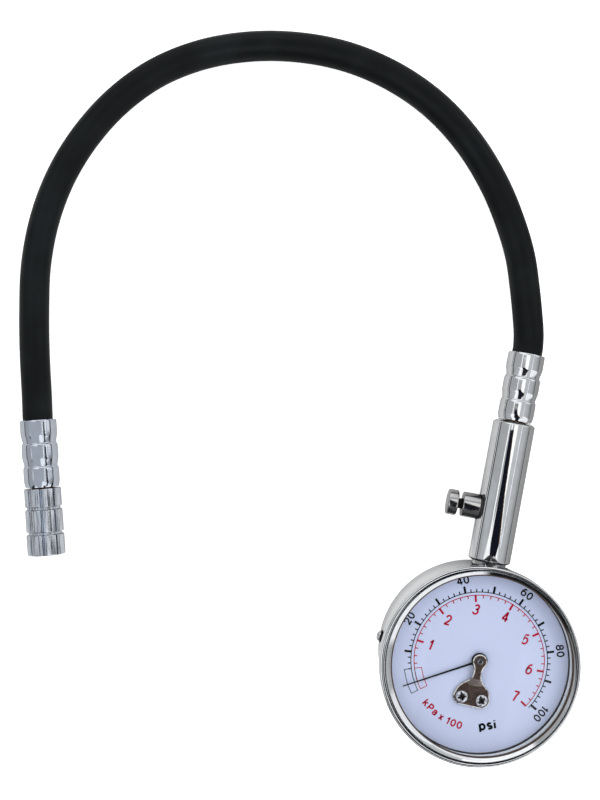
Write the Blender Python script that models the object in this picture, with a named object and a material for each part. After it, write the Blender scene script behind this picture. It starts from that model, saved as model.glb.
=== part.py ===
"""Dial tire pressure gauge: dial head, bored stem with a bleed button, rubber hose and swivelling chuck.

The gauge lies on its flat back. The origin is the centre of the case's back, +Z runs out of the dial
and +Y runs along the stem towards the hose. Sizes below are in millimetres; MM turns them into metres.
"""

from math import acos, atan2, ceil, cos, degrees, hypot, pi, radians, sin, sqrt, tan

import bmesh
import bpy
from mathutils import Matrix, Vector
from mathutils.geometry import tessellate_polygon

MM = 0.001
FINE_GAP = 0.1         # between the small pieces of the movement

# dial head
CASE_R = 26.4
CASE_WALL = 0.8
CASE_CORNER_R = 2.0
CASE_RIM_Z = 24.3
BEZEL_R = 27.45
BEZEL_TOP_Z = 27.5
BEZEL_SKIRT_Z = 22.4
BEZEL_LIP_R = 24.6
LENS_R = 26.3
LENS_Z = (25.2, 26.3)
GASKET_Z = (24.65, 25.05)
DIAL_R = 25.4
DIAL_Z = (20.5, 21.0)
DIAL_RING_R = (24.9, 25.45)
DIAL_TURN = -1.9       # degrees that dial and movement stand turned from the stem
DIAL_SHIFT = (0.36, 0.80)              # the pointer's axis stands this far from the case's axis

# stem and bleed valve
STEM_Z = 8.6
STEM_R = 6.0
STEM_Y = (26.8, 67.6)
NECK_R = 4.9
BLEED_Y = 42.0

# hose ends
HOSE_R = 4.3
FERRULE_R = 5.25
FERRULE_VALLEY_R = 4.8
FERRULE_BORE_R = 4.5
FERRULE_LENGTH = 19.3
FERRULE_Y = 68.1
CHUCK_Z = 5.6
CHUCK_R = 5.45
CHUCK_LENGTH = 19.2
CHUCK_HOSE_END = (-134.8, 43.5)
CHUCK_HEADING = (0.244, -0.970)

# movement
BASE_Z = (5.0, 6.2)
PINION_TEETH = 8
SECTOR_TEETH = 72
GEAR_MODULE = 0.3
SECTOR_SWEEP = 80 / 3                  # degrees, so that the pointer sweeps 240
SECTOR_BEARING = 200.0                 # direction of the sector's pivot from the pointer's axis
SECTOR_Z = (12.3, 13.3)
TAIL_R = 5.0
LINK_Z = (13.5, 14.1)
TUBE_R = 20.0
TUBE_Z = (9.0, 15.0)
TUBE_FROM = 66.0                       # the pressure tube's root, and its tip, in degrees
TUBE_TO = -188.0
LINK_TOP = (-16.15, 4.2)               # pin in the tube tip's ear
BRIDGE_SCREW = (2.75, -10.45)
POINTER_REST = 210.5                   # degrees, in the dial's own frame
POINTER_TIP_R = 22.1

# The hose's route on the surface, from the stem's ferrule round to the chuck's ferrule.
HOSE_ROUTE = [
    (0.0, 87.9, 8.6), (0.0, 89.0, 8.6), (-0.5, 93.0, 8.6), (-1.8, 98.5, 8.2), (-3.8, 106.0, 7.3),
    (-6.6, 115.0, 6.0), (-11.0, 124.2, 4.9), (-17.5, 134.4, 4.4), (-27.0, 145.0, 4.4), (-38.7, 153.8, 4.4),
    (-52.0, 159.8, 4.4), (-66.0, 162.9, 4.4), (-80.0, 163.1, 4.4), (-94.0, 160.8, 4.4), (-107.5, 155.9, 4.4),
    (-119.5, 148.3, 4.4), (-129.0, 138.4, 4.4), (-136.1, 127.0, 4.4), (-141.0, 114.6, 4.4),
    (-143.5, 101.5, 4.4), (-143.7, 88.0, 4.4), (-141.8, 74.5, 4.5), (-139.2, 61.8, 5.0),
    (-136.2, 49.5, 5.5), (-135.15, 44.8, 5.6), (-134.9, 43.8, 5.6),
]


# ---------------------------------------------------------------- materials

def material(name, colour, roughness, metallic):
    """A Principled material with one colour."""
    made = bpy.data.materials.new(name)
    made.use_nodes = True
    shader = made.node_tree.nodes["Principled BSDF"]
    shader.inputs["Base Color"].default_value = (*colour, 1.0)
    shader.inputs["Roughness"].default_value = roughness
    shader.inputs["Metallic"].default_value = metallic
    made.diffuse_color = (*colour, 1.0)
    return made


# ---------------------------------------------------------------- shapes

def finish(name, mesh, look, frame=None):
    """Puts one named object into the scene, in its frame (an empty), shaded smooth with sharp edges."""
    made = bpy.data.objects.new(name, mesh)
    bpy.context.collection.objects.link(made)
    mesh.materials.append(look)
    mesh.shade_smooth()
    mesh.set_sharp_from_angle(angle=radians(32))
    made.parent = frame
    return made


def mesh_from(bm, name):
    """Ends a bmesh: normals out, sizes in metres."""
    bmesh.ops.recalc_face_normals(bm, faces=bm.faces)
    bmesh.ops.scale(bm, vec=(MM, MM, MM), verts=bm.verts)
    mesh = bpy.data.meshes.new(name)
    bm.to_mesh(mesh)
    bm.free()
    return mesh


def turned_bmesh(profile, sides, start=0.0):
    """Turns a closed (radius, height) outline about the Z axis. Points at radius 0 lie on the axis."""
    bm = bmesh.new()
    rings = []
    for radius, height in profile:
        if radius == 0:
            rings.append([bm.verts.new((0, 0, height))])
            continue
        ring = []
        for step in range(sides):
            angle = 2 * pi * (step + start) / sides
            ring.append(bm.verts.new((radius * cos(angle), radius * sin(angle), height)))
        rings.append(ring)
    for here, there in zip(rings, rings[1:] + rings[:1]):
        for step in range(sides):
            after = (step + 1) % sides
            corners = [here[step % len(here)], here[after % len(here)],
                       there[after % len(there)], there[step % len(there)]]
            corners = list(dict.fromkeys(corners))
            if len(corners) > 2:
                bm.faces.new(corners)
    return bm


def turned(name, profile, look, frame, sides=32):
    return finish(name, mesh_from(turned_bmesh(profile, sides), name), look, frame)


def tube_profile(inner, outer, low, high):
    """The outline of a plain ring or sleeve."""
    return [(outer, high), (outer, low), (inner, low), (inner, high)]


def rod_profile(radius, low, high):
    return [(0, high), (radius, high), (radius, low), (0, low)]


def circle(radius, sides, centre=(0.0, 0.0)):
    return [(centre[0] + radius * cos(2 * pi * k / sides), centre[1] + radius * sin(2 * pi * k / sides))
            for k in range(sides)]


def plate_bmesh(outline, holes, low, high):
    """A flat plate between two heights, with holes through it. The walls are single faces."""
    bm = bmesh.new()
    loops = [outline] + holes
    flat = [Vector((x, y, 0.0)) for loop in loops for x, y in loop]
    bottom = [bm.verts.new((p.x, p.y, low)) for p in flat]
    top = [bm.verts.new((p.x, p.y, high)) for p in flat]
    polygons = [[Vector((x, y, 0.0)) for x, y in loop] for loop in loops]
    for triangle in tessellate_polygon(polygons):
        bm.faces.new([bottom[k] for k in triangle])
        bm.faces.new([top[k] for k in triangle])
    first = 0
    for loop in loops:
        count = len(loop)
        for k in range(count):
            a, b = first + k, first + (k + 1) % count
            bm.faces.new([bottom[a], bottom[b], top[b], top[a]])
        first += count
    return bm


def plate(name, outline, holes, low, high, look, frame):
    return finish(name, mesh_from(plate_bmesh(outline, holes, low, high), name), look, frame)


def hull_outline(discs, sides=24):
    """The outline that a belt would take round discs given as (x, y, radius)."""
    points = []
    for x, y, radius in discs:
        points += circle(radius, sides, (x, y))
    points = sorted({(round(x, 5), round(y, 5)) for x, y in points})

    def half(ordered):
        chain = []
        for point in ordered:
            while len(chain) > 1:
                (ax, ay), (bx, by) = chain[-2:]
                if (bx - ax) * (point[1] - ay) - (by - ay) * (point[0] - ax) > 1e-9:
                    break
                chain.pop()
            chain.append(point)
        return chain[:-1]

    return half(points) + half(points[::-1])


def box_bmesh(low, high):
    bm = bmesh.new()
    bmesh.ops.create_cube(bm, size=1.0)
    size = [b - a for a, b in zip(low, high)]
    middle = [(a + b) / 2 for a, b in zip(low, high)]
    bmesh.ops.scale(bm, vec=size, verts=bm.verts)
    bmesh.ops.translate(bm, vec=middle, verts=bm.verts)
    return bm


def cutter(name, bm, frame=None):
    """A body that only cuts: it is not part of the gauge."""
    made = bpy.data.objects.new(name, mesh_from(bm, name))
    bpy.context.collection.objects.link(made)
    made.parent = frame
    made.hide_render = True
    made.display_type = "WIRE"
    return made


def boolean(target, other, operation="DIFFERENCE"):
    step = target.modifiers.new(other.name, "BOOLEAN")
    step.operation = operation
    step.solver = "EXACT"
    step.object = other


def coil_mesh(name, radius_at, height_at, turns, per_turn, section):
    """Sweeps a closed section, points of (outward, upward), along a coil or a flat spiral about Z."""
    bm = bmesh.new()
    rings = []
    steps = round(turns * per_turn)
    for k in range(steps + 1):
        angle = 2 * pi * k / per_turn
        radius, height = radius_at(k / steps), height_at(k / steps)
        rings.append([bm.verts.new(((radius + out) * cos(angle), (radius + out) * sin(angle), height + up))
                      for out, up in section])
    for here, there in zip(rings, rings[1:]):
        for k in range(len(section)):
            after = (k + 1) % len(section)
            bm.faces.new([here[k], here[after], there[after], there[k]])
    bm.faces.new(rings[0])
    bm.faces.new(rings[-1])
    return mesh_from(bm, name)


def empty(name, location, rotation=None, parent=None):
    """A frame that pieces are built in; rotation is a matrix or a quaternion."""
    made = bpy.data.objects.new(name, None)
    bpy.context.collection.objects.link(made)
    made.parent = parent
    made.location = Vector(location) * MM
    if rotation is not None:
        made.rotation_mode = "QUATERNION"
        made.rotation_quaternion = rotation
    return made


def along(direction):
    """The turn that takes +Z to a direction."""
    return Vector(direction).to_track_quat("Z", "Y")


def polar(radius, angle, centre=(0.0, 0.0)):
    return (centre[0] + radius * cos(radians(angle)), centre[1] + radius * sin(radians(angle)))


# ---------------------------------------------------------------- gear outlines

def involute(base, radius):
    """The angle by which an involute has turned away from its start, in radians."""
    pressure = acos(min(1.0, base / radius))
    return tan(pressure) - pressure


def tooth_flank(teeth, tip, root, thinning):
    """Half a tooth, as (radius, half angle) from root to tip, thinned for running clearance."""
    pitch = GEAR_MODULE * teeth / 2
    base = pitch * cos(radians(20))
    half_at_pitch = pi / (2 * teeth) - thinning / pitch
    flank = [(root, half_at_pitch + involute(base, pitch))]
    start = max(base, root)
    for step in range(4):
        radius = start + (tip - start) * step / 3
        flank.append((radius, half_at_pitch + involute(base, pitch) - involute(base, radius)))
    if flank[1][0] - flank[0][0] < 0.01:
        flank.pop(0)
    return flank


def teeth_outline(teeth, numbers, middle, thinning=0.05):
    """The toothed edge of a gear, anticlockwise, for the numbered teeth about a middle angle in degrees."""
    pitch = GEAR_MODULE * teeth / 2
    flank = tooth_flank(teeth, pitch + 0.6 * GEAR_MODULE, pitch - 0.85 * GEAR_MODULE, thinning)
    edge = []
    for number in numbers:
        centre = radians(middle) + 2 * pi * number / teeth
        for radius, half in flank:
            edge.append((radius * cos(centre - half), radius * sin(centre - half)))
        for radius, half in reversed(flank):
            edge.append((radius * cos(centre + half), radius * sin(centre + half)))
    return edge


# ---------------------------------------------------------------- dial head

def case_centre():
    """The case's axis, seen in the dial's frame."""
    x, y = DIAL_SHIFT
    turn = radians(-DIAL_TURN)
    return (-x * cos(turn) + y * sin(turn), -x * sin(turn) - y * cos(turn))


def side_hole(name, frame, radius, near, far, sides=24):
    return cutter(name, turned_bmesh(rod_profile(radius, near, far), sides), frame)


def build_case(looks, frames):
    inner = CASE_R - CASE_WALL
    corner = CASE_CORNER_R
    outside = [(CASE_R - corner + corner * cos(radians(a)), corner - corner * sin(radians(a)))
               for a in (0, 30, 60, 90)]
    inside_r = corner - CASE_WALL
    inside = [(inner - inside_r + inside_r * cos(radians(a)), corner - inside_r * sin(radians(a)))
              for a in (90, 45, 0)]
    profile = [(CASE_R, CASE_RIM_Z)] + outside + [(0, 0), (0, CASE_WALL)] + inside + [(inner, CASE_RIM_Z)]
    can = turned("case_can", profile, looks["chrome"], None, sides=40)
    boolean(can, side_hole("cut_case_neck", frames["stem"], NECK_R + 0.15, 20, 32, 24))
    for side in ("left", "right"):
        boolean(can, side_hole(f"cut_case_{side}", frames[side], 1.3, 22, 30, 16))


def build_front(looks):
    inside, under = CASE_R + 0.15, LENS_Z[1] + 0.2
    lip, edge = BEZEL_LIP_R, BEZEL_R
    bezel = [
        (edge - 0.25, BEZEL_SKIRT_Z), (inside, BEZEL_SKIRT_Z), (inside, under), (lip + 0.05, under),
        (lip, under + 0.15), (lip + 0.8, 27.0), (lip + 1.3, 27.35), (lip + 1.8, BEZEL_TOP_Z),
        (edge - 0.5, 27.35), (edge - 0.1, 26.9), (edge, 26.2), (edge, 24.0),
        (edge - 0.1, BEZEL_SKIRT_Z + 0.15),
    ]
    turned("bezel_ring", bezel, looks["chrome"], None, sides=40)
    turned("lens", rod_profile(LENS_R, *LENS_Z), looks["lens"], None, sides=40)
    turned("lens_gasket", tube_profile(24.8, 26.3, *GASKET_Z), looks["gasket"], None, sides=40)
    turned("dial_ring", tube_profile(*DIAL_RING_R, DIAL_Z[1] + 0.15, GASKET_Z[0] - 0.15),
           looks["ring"], None, sides=40)


def build_dial(looks, frames):
    holes = [circle(1.6, 24)]
    for side in (-1, 1):
        holes.append(circle(1.2, 16, (side * BRIDGE_SCREW[0], BRIDGE_SCREW[1])))
    plate("dial_plate", circle(DIAL_R, 40, case_centre()), holes, *DIAL_Z, looks["dial"], frames["dial"])


def build_side_screws(looks, frames):
    """Pan-head screws through the case wall into the ears of the movement's base."""
    for side in ("left", "right"):
        frame = frames[side]
        washer = tube_profile(1.3, 1.8, CASE_R + 0.1, CASE_R + 0.5)
        turned(f"case_screw_washer_{side}", washer, looks["black"], frame, 20)
        head_low = CASE_R + 0.6
        head = [(0, head_low + 0.95), (0.8, head_low + 0.9), (1.3, head_low + 0.6), (1.5, head_low + 0.2),
                (1.5, head_low), (1.0, head_low), (1.0, 22.6), (0, 22.6)]
        screw = turned(f"case_screw_{side}", head, looks["chrome"], frame, 20)
        boolean(screw, cross_cutter(f"cut_case_screw_{side}", frame, 31, head_low + 0.35, 0.9, 0.34))


def cross_cutter(name, frame, turn, depth_z, reach, width):
    """A plus-shaped body, turned by some degrees, that cuts a cross recess down to a depth."""
    half = width / 2
    outline = []
    for arm in range(4):
        angle = turn + 90 * arm
        spread = degrees(atan2(half, reach))
        outline += [polar(hypot(reach, half), angle - spread), polar(hypot(reach, half), angle + spread)]
        outline.append(polar(half * sqrt(2), angle + 45))
    return cutter(name, plate_bmesh(outline, [], depth_z, depth_z + 4), frame)


# ---------------------------------------------------------------- movement

def sector_pivot():
    return polar(GEAR_MODULE * (PINION_TEETH + SECTOR_TEETH) / 2, SECTOR_BEARING)


def tail_pin():
    """Where the link's pin stands on the sector's tail at rest: half the sweep above the tail's level."""
    return polar(TAIL_R, 180 - SECTOR_SWEEP / 2, sector_pivot())


def build_base(looks, frames):
    ear_x = CASE_R - CASE_WALL - 1.1
    pivot = sector_pivot()
    outline = [(-ear_x, -3.5), (-16.5, -7.5), (-6.0, -13.5), (6.0, -13.5), (16.5, -4.5), (ear_x, -3.5),
               (ear_x, 3.5), (12.0, 5.0), (7.5, 14.0), (7.5, 19.8), (-7.5, 19.8), (-7.5, 14.0),
               (-12.0, 5.0), (-ear_x, 3.5)]
    holes = [circle(0.45, 12), circle(0.75, 12, pivot)]
    for side in (-1, 1):
        holes.append(circle(1.15, 12, (side * BRIDGE_SCREW[0], BRIDGE_SCREW[1])))
        holes.append(circle(1.1, 12, (side * 4.6, 18.3)))
    holes.append(circle(0.45, 12, polar(6.3, 60)))
    base = plate("movement_base", outline, holes, *BASE_Z, looks["brass"], frames["dial"])
    for side in (-1, 1):
        ear = box_bmesh((min(side * ear_x, side * (ear_x - 1.4)), -3.4, BASE_Z[0] + 0.2),
                        (max(side * ear_x, side * (ear_x - 1.4)), 3.4, 14.5))
        boolean(base, cutter(f"join_ear_{side}", ear, frames["dial"]), "UNION")
    for side in ("left", "right"):
        boolean(base, side_hole(f"cut_ear_{side}", frames[side], 1.15, 21, 28, 16))


def build_pillars(looks, frames):
    """Posts that carry the dial and the bridge: a stub in the base, and a tapped hole on top."""
    for side, sign in (("left", -1), ("right", 1)):
        frame = empty(f"pillar_axis_{side}", (sign * BRIDGE_SCREW[0], BRIDGE_SCREW[1], 0),
                      parent=frames["dial"])
        shoulder = BASE_Z[1] + FINE_GAP
        top = DIAL_Z[0] - FINE_GAP
        profile = [(1.0, top), (1.75, top), (1.75, shoulder), (1.0, shoulder), (1.0, BASE_Z[0]),
                   (0, BASE_Z[0]), (0, 15.5), (1.0, 15.5)]
        turned(f"pillar_{side}", profile, looks["brass"], frame, 16)
        low, high = bridge_levels()["foot"]
        head_low = high + FINE_GAP
        screw = [(0, head_low + 1.0), (0.9, head_low + 0.95), (1.45, head_low + 0.7), (1.75, head_low + 0.25),
                 (1.75, head_low), (0.85, head_low), (0.85, 16.5), (0, 16.5)]
        made = turned(f"bridge_screw_{side}", screw, looks["chrome"], frame, 20)
        turn = 20 if side == "left" else 52
        boolean(made, cross_cutter(f"cut_bridge_screw_{side}", frame, turn, head_low + 0.4, 1.1, 0.42))


def bridge_levels():
    """Heights of the bridge's foot, on the dial, and of its raised head, over the pointer's hub."""
    return {"foot": (DIAL_Z[1] + 0.15, DIAL_Z[1] + 0.95), "head": (22.5, 23.2)}


def build_bridge(looks, frames):
    """A stamped front bridge: a foot with two screw holes, a joggle and a raised head with a bush."""
    foot_low, foot_high = bridge_levels()["foot"]
    head_low, head_high = bridge_levels()["head"]
    # the plan outline, right half, from the head down to the middle of the foot
    head_r, foot_r = 1.75, 2.25
    right = [polar(head_r, a) for a in (90, 65, 40, 15, -10, -35)]
    right += [(1.15, -1.9), (1.15, -4.5), (2.0, -5.6), (3.4, -6.9), (4.5, -8.6)]
    right += [polar(foot_r, a, BRIDGE_SCREW) for a in (20, -5, -30, -55, -80)]
    outline = right[1:][::-1] + [right[0]] + [(-x, y) for x, y in right[1:]]
    heights = [(3.0, "head"), (-4.5, "head"), (-6.7, "foot"), (-14.0, "foot")]
    bm = plate_bmesh(outline, [], 0.0, 1.0)
    for level in (-4.5, -6.7):
        bmesh.ops.bisect_plane(bm, geom=bm.verts[:] + bm.edges[:] + bm.faces[:], dist=1e-5,
                               plane_co=(0, level, 0), plane_no=(0, 1, 0))
    for vert in bm.verts:
        y = vert.co.y
        rise = min(max((y - heights[2][0]) / (heights[1][0] - heights[2][0]), 0.0), 1.0)
        low = foot_low + (head_low - foot_low) * rise
        high = foot_high + (head_high - foot_high) * rise
        vert.co.z = low + (high - low) * vert.co.z
    bridge = finish("pointer_bridge", mesh_from(bm, "pointer_bridge"), looks["bronze"], frames["dial"])
    boolean(bridge, cutter("cut_bridge_bush", turned_bmesh(rod_profile(0.85, 21, 25), 20), frames["dial"]))
    for sign in (-1, 1):
        frame = empty(f"bridge_hole_axis_{sign}", (sign * BRIDGE_SCREW[0], BRIDGE_SCREW[1], 0),
                      parent=frames["dial"])
        boolean(bridge, cutter(f"cut_bridge_hole_{sign}", turned_bmesh(rod_profile(1.05, 20, 24), 16), frame))
    turned("bridge_bushing", tube_profile(0.42, 0.78, head_low, head_high + 0.1), looks["chrome"],
           frames["dial"], 16)


def build_pointer(looks, frames):
    """The needle with its hub disc, and the arbor that carries the pinion and the hairspring's collet."""
    frame = frames["pointer"]
    needle_low, needle_high = 21.75, 21.95
    needle = [(-2.0, -0.35), (4.5, -0.32), (10.0, -0.26), (POINTER_TIP_R, -0.14), (POINTER_TIP_R, 0.14),
              (10.0, 0.26), (4.5, 0.32), (-2.0, 0.35)]
    made = plate("pointer_needle", needle, [], needle_low, needle_high, looks["black"], frame)
    hub = turned_bmesh([(0.62, 22.3), (1.9, 22.3), (2.2, 22.1), (2.2, 21.5), (0.62, 21.5)], 20)
    boolean(made, cutter("join_hub", hub, frame), "UNION")
    boolean(made, cutter("cut_hub", turned_bmesh(rod_profile(0.62, 20, 25), 16), frame))
    shoulder = BASE_Z[1] + FINE_GAP
    arbor = [(0, 23.1), (0.36, 23.1), (0.36, 22.35), (0.52, 22.35), (0.52, shoulder), (0.36, shoulder),
             (0.36, BASE_Z[0] + 0.1), (0, BASE_Z[0] + 0.1)]
    made = turned("pointer_arbor", arbor, looks["steel"], frames["dial"], 16)
    pinion = teeth_outline(PINION_TEETH, range(PINION_TEETH), SECTOR_BEARING + 180 / PINION_TEETH)
    join = plate_bmesh(pinion, [], SECTOR_Z[0] - 0.5, SECTOR_Z[1] + 0.5)
    boolean(made, cutter("join_pinion", join, frames["dial"]), "UNION")
    turned("hairspring_collet", tube_profile(0.62, 1.3, 15.4, 17.0), looks["brass"], frames["dial"], 16)
    spring = coil_mesh("hairspring", lambda t: 1.5 + 4.3 * t, lambda t: 16.2, 3.5, 18,
                       [(-0.06, -0.25), (0.06, -0.25), (0.06, 0.25), (-0.06, 0.25)])
    finish("hairspring", spring, looks["bronze"], frames["hairspring"])
    frame = empty("stud_axis", (*polar(6.3, 60), 0), parent=frames["dial"])
    stud = [(0, 17.0), (0.42, 17.0), (0.42, shoulder), (0.38, shoulder), (0.38, BASE_Z[0]), (0, BASE_Z[0])]
    turned("hairspring_stud", stud, looks["brass"], frame, 12)


def build_sector(looks, frames):
    """The toothed sector with its hub and tail, its post and clip, and the pin for the link."""
    frame = frames["sector"]
    bearing = SECTOR_BEARING - 180
    teeth = list(range(-7, 2))
    edge = teeth_outline(SECTOR_TEETH, teeth, bearing)
    body_r = GEAR_MODULE * SECTOR_TEETH / 2 - 0.85 * GEAR_MODULE
    first = bearing - 7 * 5 - 4
    last = bearing + 5 + 4
    x, y = sector_pivot()
    pin = (tail_pin()[0] - x, tail_pin()[1] - y)
    tail_turn = degrees(atan2(pin[1], pin[0]))
    rim = [polar(body_r, first)] + edge + [polar(body_r, last)]
    rim += [polar(body_r - 1.2, last), polar(2.4, last + 28)]
    rim += [polar(1.9, tail_turn - 60), polar(1.05, tail_turn - 90, pin)]
    rim += [polar(1.05, a, pin) for a in (tail_turn - 60, tail_turn - 30, tail_turn, tail_turn + 30,
                                          tail_turn + 60, tail_turn + 90)]
    rim += [polar(1.9, tail_turn + 60), polar(2.4, first - 28 + 360), polar(body_r - 1.2, first)]
    holes = [circle(1.05, 20), circle(0.46, 12, pin)]
    made = plate("sector_gear", rim, holes, *SECTOR_Z, looks["brass"], frame)
    hub = turned_bmesh(tube_profile(1.05, 1.85, BASE_Z[1] + 0.15, SECTOR_Z[0] + 0.3), 20)
    boolean(made, cutter("join_sector_hub", hub, frame), "UNION")
    pin_frame = empty("sector_pin_axis", (*pin, 0), parent=frame)
    rivet = [(0, 14.65), (0.75, 14.65), (0.75, 14.3), (0.38, 14.3), (0.38, SECTOR_Z[0] - 0.1),
             (0.7, SECTOR_Z[0] - 0.1), (0.7, SECTOR_Z[0] - 0.4), (0, SECTOR_Z[0] - 0.4)]
    turned("sector_pin", rivet, looks["steel"], pin_frame, 12)
    shoulder = BASE_Z[1] + 0.05
    post = [(0, 14.2), (0.92, 14.2), (0.92, 13.9), (0.7, 13.9), (0.7, 13.5), (0.92, 13.5), (0.92, shoulder),
            (0.62, shoulder), (0.62, BASE_Z[0]), (0, BASE_Z[0])]
    turned("sector_post", post, looks["steel"], frame, 16)
    clip_gap = 35
    angles = [clip_gap + (360 - 2 * clip_gap) * k / 14 for k in range(15)]
    clip = [polar(1.7, a) for a in angles] + [polar(0.78, a) for a in reversed(angles)]
    plate("sector_clip", clip, [], 13.55, 13.85, looks["steel"], frame)


def build_tube(looks, frames):
    """The flattened pressure tube, the plug with its ear at the tip, and the link to the sector."""
    half_thick, half_tall = 1.0, (TUBE_Z[1] - TUBE_Z[0]) / 2
    middle = (TUBE_Z[0] + TUBE_Z[1]) / 2

    def section(wall):
        thick, tall = half_thick - wall, half_tall - wall
        return [(thick, -tall + thick), (thick, tall - thick), (0, tall), (-thick, tall - thick),
                (-thick, -tall + thick), (0, -tall)]

    bm = bmesh.new()
    steps = 26
    rings = {"outer": [], "inner": []}
    for kind, wall in (("outer", 0.0), ("inner", 0.3)):
        for k in range(steps + 1):
            angle = radians(TUBE_FROM + (TUBE_TO - TUBE_FROM) * k / steps)
            rings[kind].append([bm.verts.new(((TUBE_R + out) * cos(angle), (TUBE_R + out) * sin(angle),
                                              middle + up)) for out, up in section(wall)])
        for here, there in zip(rings[kind], rings[kind][1:]):
            for k in range(6):
                bm.faces.new([here[k], here[(k + 1) % 6], there[(k + 1) % 6], there[k]])
    for end in (0, -1):
        for k in range(6):
            after = (k + 1) % 6
            bm.faces.new([rings["outer"][end][k], rings["outer"][end][after],
                          rings["inner"][end][after], rings["inner"][end][k]])
    finish("bourdon_tube", mesh_from(bm, "bourdon_tube"), looks["bronze"], frames["dial"])

    tip_angle = TUBE_TO + 360
    frame = frames["tip"]
    ear_x, ear_y = LINK_TOP
    end = Vector(polar(TUBE_R, tip_angle))
    back = Vector((sin(radians(tip_angle)), -cos(radians(tip_angle))))
    ear = Vector((ear_x, ear_y))
    block = [end + back * 0.2 + Vector(polar(1.1, tip_angle)),
             end + back * 2.6 + Vector(polar(1.1, tip_angle)),
             end + back * 2.6 - Vector(polar(1.1, tip_angle)),
             ear + Vector((-0.2, 1.15)), ear + Vector((0.7, 0.95)), ear + Vector((1.15, 0.2)),
             ear + Vector((0.9, -0.75)), ear + Vector((0.1, -1.15)), ear + Vector((-0.8, -0.85)),
             end + back * 0.2 - Vector(polar(1.1, tip_angle))]
    outline = [(p.x - ear_x, p.y - ear_y) for p in block]
    plate("tube_tip_plug", outline, [circle(0.46, 12)], SECTOR_Z[0], SECTOR_Z[1], looks["brass"], frame)
    rivet = [(0, 14.65), (0.75, 14.65), (0.75, 14.3), (0.38, 14.3), (0.38, SECTOR_Z[0] - 0.1),
             (0.7, SECTOR_Z[0] - 0.1), (0.7, SECTOR_Z[0] - 0.4), (0, SECTOR_Z[0] - 0.4)]
    turned("tip_pin", rivet, looks["steel"], frame, 12)
    tail = tail_pin()
    bottom = (tail[0] - ear_x, tail[1] - ear_y)
    outline = hull_outline([(0, 0, 0.95), (*bottom, 1.1)], 16)
    plate("connecting_link", outline, [circle(0.46, 12), circle(0.66, 12, bottom)], *LINK_Z,
          looks["steel"], frame)


def build_socket(looks, frames):
    """The brass root: a block in the case that takes the tube's end, and a bored neck for the stem."""
    low, high = BASE_Z[1] + FINE_GAP, 19.0
    outline = [(-7.2, 15.2), (5.2, 15.2), (9.4, 16.6), (8.2, 20.6), (6.0, 22.4), (-6.0, 22.4), (-7.2, 21.0)]
    block = plate("socket_block", outline, [], low, high, looks["brass"], frames["dial"])
    neck = [(1.4, 34.2), (4.0, 34.2), (4.0, 27.0), (NECK_R, 27.0), (NECK_R, 21.0), (1.4, 21.0)]
    boolean(block, cutter("join_neck", turned_bmesh(neck, 24), frames["stem"]), "UNION")
    boolean(block, cutter("cut_socket_bore", turned_bmesh(rod_profile(1.2, 17.5, 24), 12), frames["stem"]))
    angle = TUBE_FROM
    root = polar(TUBE_R, angle)
    slot = box_bmesh((-1.2, -3.3, -3.2), (1.2, 1.8, 3.2))
    frame = empty("tube_root", (*root, (TUBE_Z[0] + TUBE_Z[1]) / 2),
                  Matrix.Rotation(radians(angle), 3, "Z").to_quaternion(), frames["dial"])
    boolean(block, cutter("cut_tube_slot", slot, frame))
    passage = empty("tube_passage", (0, 17.8, STEM_Z + 1.2), along((1, 0, 0)), frames["dial"])
    boolean(block, cutter("cut_passage", turned_bmesh(rod_profile(0.9, -0.6, 8.2), 12), passage))
    for side, sign in (("left", -1), ("right", 1)):
        axis = empty(f"base_screw_axis_{side}", (sign * 4.6, 18.3, 0), parent=frames["dial"])
        boolean(block, cutter(f"cut_base_screw_{side}", turned_bmesh(rod_profile(1.0, 5, 9.2), 16), axis))
        screw = [(0, 8.6), (0.8, 8.6), (0.8, BASE_Z[0] - 0.1), (1.7, BASE_Z[0] - 0.1), (1.7, BASE_Z[0] - 0.7),
                 (1.3, BASE_Z[0] - 1.1), (0, BASE_Z[0] - 1.1)]
        turned(f"base_screw_{side}", screw, looks["steel"], axis, 16)


# ---------------------------------------------------------------- stem, bleed valve and check valve

def build_stem(looks, frames):
    low, high = STEM_Y
    profile = [
        (STEM_R - 0.5, high), (STEM_R, high - 0.5), (STEM_R, low + 0.7), (STEM_R - 0.7, low + 0.3),
        (NECK_R + FINE_GAP, low + 0.3), (4.2, low + 0.4), (4.2, 34.5), (3.0, 35.2), (3.0, 46.5), (1.6, 47.0),
        (1.6, 48.0), (3.0, 48.3), (3.0, 57.5), (3.6, 57.8), (3.6, high - 0.3), (3.9, high),
    ]
    stem = turned("stem_body", profile, looks["chrome"], frames["stem"], 28)
    boolean(stem, side_hole("cut_bleed_hole", frames["bleed"], 2.6, 1.0, 12, 20))
    boolean(stem, side_hole("cut_spot_face", frames["bleed"], 3.85, 4.9, 12, 24))


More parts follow.
